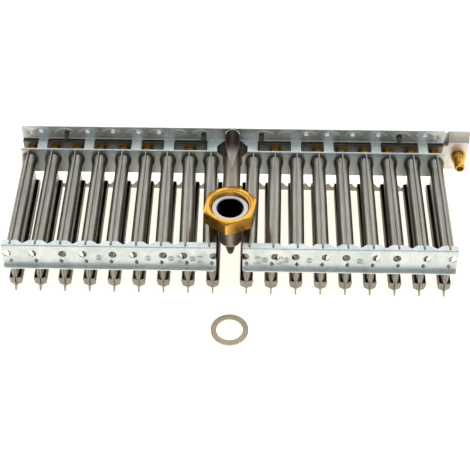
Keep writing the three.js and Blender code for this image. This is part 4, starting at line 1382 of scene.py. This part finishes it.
def build_collar():
    profile = (
        (COLLAR_BORE, COLLAR_BOTTOM + 0.3), (COLLAR_BORE + 0.3, COLLAR_BOTTOM),
        (COLLAR_RADIUS - 0.3, COLLAR_BOTTOM), (COLLAR_RADIUS, COLLAR_BOTTOM + 0.3),
        (COLLAR_RADIUS, COLLAR_TOP - 0.5), (COLLAR_RADIUS - 0.5, COLLAR_TOP),
        (COLLAR_BORE + 0.6, COLLAR_TOP), (COLLAR_BORE, COLLAR_TOP - 0.6))
    collar = turned("collar_ring", profile, 72, "Z", (0, INLET_Y, 0))
    # Painted shade in the collar's shadowed bore.
    add_painted_shade(collar, bore_painted_shade)
    finish_piece(collar, "collar_steel", "burner", "inlet_collar")


def thread_radius(angle, z):
    """The internal thread's radius: a rounded ridge that climbs one pitch in a turn."""
    phase = (z / THREAD_PITCH - angle / (2 * math.pi)) % 1.0
    ridge = 0.5 - 0.5 * math.cos(2 * math.pi * phase)
    return THREAD_CREST + THREAD_DEPTH * ridge ** 0.8


def nut_section(angle):
    """The nut's closed section at an angle, as radius and height."""
    outer = hexagon_radius(angle, NUT_FLATS, NUT_TURN + math.pi / 6)
    edge = NUT_TOP - max(outer - NUT_FLAT_TOP, 0) * NUT_TOP_SLOPE
    low = NUT_BOTTOM + max(outer - NUT_CHAMFER_START, 0) * NUT_FOOT_SLOPE + 0.25
    ring = [
        (NUT_FLOOR_HOLE, NUT_BOTTOM), (min(outer, NUT_CHAMFER_START) - 0.3, NUT_BOTTOM), (outer, low),
        (outer, edge - 0.15), (outer - 0.3, edge + 0.05), (NUT_FLAT_TOP, NUT_TOP), (16.7, NUT_TOP),
        (16.1, NUT_TOP - 0.7)]
    z = NUT_TOP - 0.9
    while z > NUT_FLOOR_TOP + 0.5:
        ring.append((thread_radius(angle, z), z))
        z -= THREAD_PITCH / 7
    return ring + [(15.6, NUT_FLOOR_TOP + 0.3), (15.4, NUT_FLOOR_TOP), (NUT_FLOOR_HOLE, NUT_FLOOR_TOP)]


def build_nut():
    """The union nut: chamfered hexagon, threaded bore and inward floor."""
    segments = 120
    verts = []
    for j in range(segments):
        angle = 2 * math.pi * j / segments
        for radius, height in nut_section(angle):
            verts.append((radius * math.cos(angle), radius * math.sin(angle) + INLET_Y, height))
    faces = ring_faces(segments, len(verts) // segments, True)
    nut = mesh_object("nut", verts, faces, SHARP_NUT)
    finish_piece(nut, "brass", "union_nut", "union_nut")


def build_gasket():
    low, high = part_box("gasket")
    centre = [((a + b) / 2 - o) / MM for a, b, o in zip(low, high, ORIGIN)]
    profile = (
        (10.5, 0.15), (10.65, 0.0), (14.85, 0.0), (15.0, 0.15), (15.0, 1.8),
        (14.8, 2.0), (12.7, 2.03), (10.7, 2.0), (10.5, 1.8))
    ring = turned("ring_gasket", profile, 96, "Z", (centre[0], centre[1], 0), SHARP_GASKET)
    finish_piece(ring, "gasket_fibre", "gasket", "gasket")


def build_test_nipple():
    profile = (
        (2.7, 0.3), (3.0, 0.0), (3.9, 0.0), (4.4, 0.6), (4.55, 2.2), (4.3, 3.4), (4.35, 6.0), (4.7, 10.5),
        (4.9, 11.4), (5.7, 11.7), (6.0, 12.1), (6.0, 14.8), (5.6, 15.2), (3.0, 15.2), (3.0, 18.5),
        (1.2, 18.5),
        (1.2, 9.6), (2.7, 9.6))
    nipple = turned("pressure_nipple", profile, 40, "Y", (NIPPLE_X, NIPPLE_TIP_Y, NIPPLE_Z))
    finish_piece(nipple, "brass", "burner", "test_nipple")
    profile = ((0, 0), (1.8, 0), (2.2, 0.4), (2.2, 6.5), (0.6, 8.1), (0, 8.2))
    screw = turned("sealing_screw", profile, 24, "Y", (NIPPLE_X, NIPPLE_TIP_Y + 1.0, NIPPLE_Z))
    low = (NIPPLE_X - 3, NIPPLE_TIP_Y, NIPPLE_Z - 0.4)
    high = (NIPPLE_X + 3, NIPPLE_TIP_Y + 2, NIPPLE_Z + 0.4)
    slot = block("slot", low, high)
    screw = combined(screw, [slot], "DIFFERENCE")
    finish_piece(screw, "fastener_steel", "test_screw", "test_screw")


# ---------------------------------------------------------------- screws and comb


def screw_profile(head_y):
    """A self-tapping screw about Y: pointed thread in front, rounded head behind."""
    tip = WALL_Y - 9.0
    profile = [(0, tip), (0.5, tip + 0.2)]
    y = tip + 1.0
    while y < WALL_Y - 1.0:
        core = lerp(0.9, 1.5, min((y - tip) / 3.5, 1.0))
        profile += [(core, y), (core + 0.4, y + 0.35), (core, y + 0.7)]
        y += 1.1
    profile += [(1.9, WALL_Y - 0.6), (1.9, head_y), (3.3, head_y), (3.5, head_y + 0.4), (3.3, head_y + 1.3),
                (2.4, head_y + 2.1), (1.1, head_y + 2.4), (0, head_y + 2.4)]
    return profile


def build_rail_screws():
    head_y = MANIFOLD_FLANGE_Y + 2 * MANIFOLD_SHEET + 2 * GAP
    for number, x in enumerate(SCREW_PLACES, 1):
        screw = turned(f"tapping_screw_{number}", screw_profile(head_y), 28, "Y", (x, 0, SCREW_Z))
        back = head_y + 2.8
        depth = head_y + 0.9
        cross = block("cross_a", (x - 2.2, depth, SCREW_Z - 0.45), (x + 2.2, back, SCREW_Z + 0.45))
        other = block("cross_b", (x - 0.45, depth, SCREW_Z - 2.2), (x + 0.45, back, SCREW_Z + 2.2))
        screw = combined(screw, [cross, other], "DIFFERENCE")
        finish_piece(screw, "fastener_steel", "burner", f"rail_screw_{number}")


COMB_BOTTOM = 1.5
COMB_ROOT = 5.0
COMB_TIP = 9.4
TOOTH_HALF_ROOT = 4
TOOTH_HALF_TIP = 0.4


def build_comb():
    """The toothed strip behind the flame heads."""
    half = FIRST_BAR_X + 7 * BAR_PITCH + 5
    outline = [(-half, COMB_BOTTOM), (half, COMB_BOTTOM), (half, COMB_ROOT)]
    for index in range(2 * BARS_PER_SIDE - 2, 1, -1):
        middle = (bar_place(index)[2] + bar_place(index - 1)[2]) / 2
        outline += [(middle + TOOTH_HALF_ROOT, COMB_ROOT), (middle + TOOTH_HALF_TIP, COMB_TIP),
                    (middle - TOOTH_HALF_TIP, COMB_TIP), (middle - TOOTH_HALF_ROOT, COMB_ROOT)]
    outline.append((-half, COMB_ROOT))

    def put(x, z):
        return Vector((x, REAR_FOLD_Y + GAP, z)), Vector((0, 1, 0))

    verts, faces = sheet_mesh(outline, [], [], [], put, None, SHEET)
    comb = mesh_object("comb_strip", verts, faces)
    finish_piece(comb, "burner_steel", "burner", "rear_comb")


# ---------------------------------------------------------------- stage, light and camera


FLOOR_SIZE = 6.0
FLOOR_DROP = 0.0002
FLOOR_GLOW = 0.95
# Each area light: name, place, target, width, height, power and colour.
LIGHTS = (
    ("top_soft", (0.0, 0.9, 1.5), (0, 0.05, 0), 1.8, 1.2, 9.0, (1.0, 1.0, 1.0)),
    ("rear_soft_-1", (-1.1, 1.2, 0.85), (0, 0, 0.03), 0.8, 0.8, 4.2, (1.0, 1.0, 0.99)),
    ("rear_soft_1", (1.1, 1.2, 0.85), (0, 0, 0.03), 0.8, 0.8, 4.2, (1.0, 1.0, 0.99)),
    ("front_soft", (0.1, -1.2, 1.6), (0, 0, 0.03), 1.0, 0.6, 3.0, (0.99, 1.0, 1.0)),
)
WORLD_COLOR = (1.0, 0.99, 0.975, 1.0)
WORLD_STRENGTH = 0.32


def build_stage():
    bpy.ops.mesh.primitive_plane_add(size=FLOOR_SIZE, location=(0, 0, -FLOOR_DROP))
    floor = bpy.context.active_object
    floor.name = "floor"
    surface = Surface("floor_paper", 0.0, 0.85)
    grain = surface.noise(300, 3.0)
    paper = surface.between(grain, (0.90, 0.885, 0.86), (0.93, 0.915, 0.89))
    surface.color(paper)
    glow = surface.between(grain, (0.99, 0.90, 0.78), (1.0, 0.92, 0.80))
    surface.links.new(glow, surface.shader.inputs["Emission Color"])
    surface.shader.inputs["Emission Strength"].default_value = FLOOR_GLOW
    floor.data.materials.append(surface.material)


def area_light(name, location, target, width, height, power, color):
    data = bpy.data.lights.new(name, "AREA")
    data.energy = power
    data.color = color
    data.shape = "RECTANGLE"
    data.size = width
    data.size_y = height
    light = bpy.data.objects.new(name, data)
    light.location = location
    direction = Vector(target) - Vector(location)
    light.rotation_euler = direction.to_track_quat("-Z", "Y").to_euler()
    bpy.context.collection.objects.link(light)


def build_lights():
    for light in LIGHTS:
        area_light(*light)
    world = bpy.data.worlds.new("studio")
    bpy.context.scene.world = world
    world.use_nodes = True
    background = world.node_tree.nodes["Background"]
    background.inputs["Color"].default_value = WORLD_COLOR
    background.inputs["Strength"].default_value = WORLD_STRENGTH


CAMERA_PLACE = (17.6, -594.4, 720.3)
CAMERA_PITCH = math.radians(47.87)
CAMERA_YAW = math.radians(-1.26)
CAMERA_ROLL = math.radians(-0.13)
CAMERA_LENS = 87.54


def build_camera():
    data = bpy.data.cameras.new("camera")
    data.lens = CAMERA_LENS
    data.sensor_width = 36.0
    data.clip_start = 0.01
    camera = bpy.data.objects.new("camera", data)
    camera.location = place(CAMERA_PLACE)
    forward = Vector((math.sin(CAMERA_YAW) * math.cos(CAMERA_PITCH),
                      math.cos(CAMERA_YAW) * math.cos(CAMERA_PITCH), -math.sin(CAMERA_PITCH)))
    right = Vector((math.cos(CAMERA_YAW), -math.sin(CAMERA_YAW), 0.0))
    up = right.cross(forward)
    right, up = (right * math.cos(CAMERA_ROLL) + up * math.sin(CAMERA_ROLL),
                 up * math.cos(CAMERA_ROLL) - right * math.sin(CAMERA_ROLL))
    camera.rotation_euler = Matrix((right, up, -forward)).transposed().to_euler()
    bpy.context.collection.objects.link(camera)
    bpy.context.scene.camera = camera


build_camera()
build_lights()
build_stage()
build_bars()
build_front_brackets()
build_rear_bracket()
build_manifold_front()
build_manifold_rear()
build_injectors()
build_pipe()
build_saddle()
build_elbow()
build_collar()
build_nut()
build_gasket()
build_test_nipple()
build_rail_screws()
build_comb()

bpy.context.scene.view_settings.view_transform = "Standard"
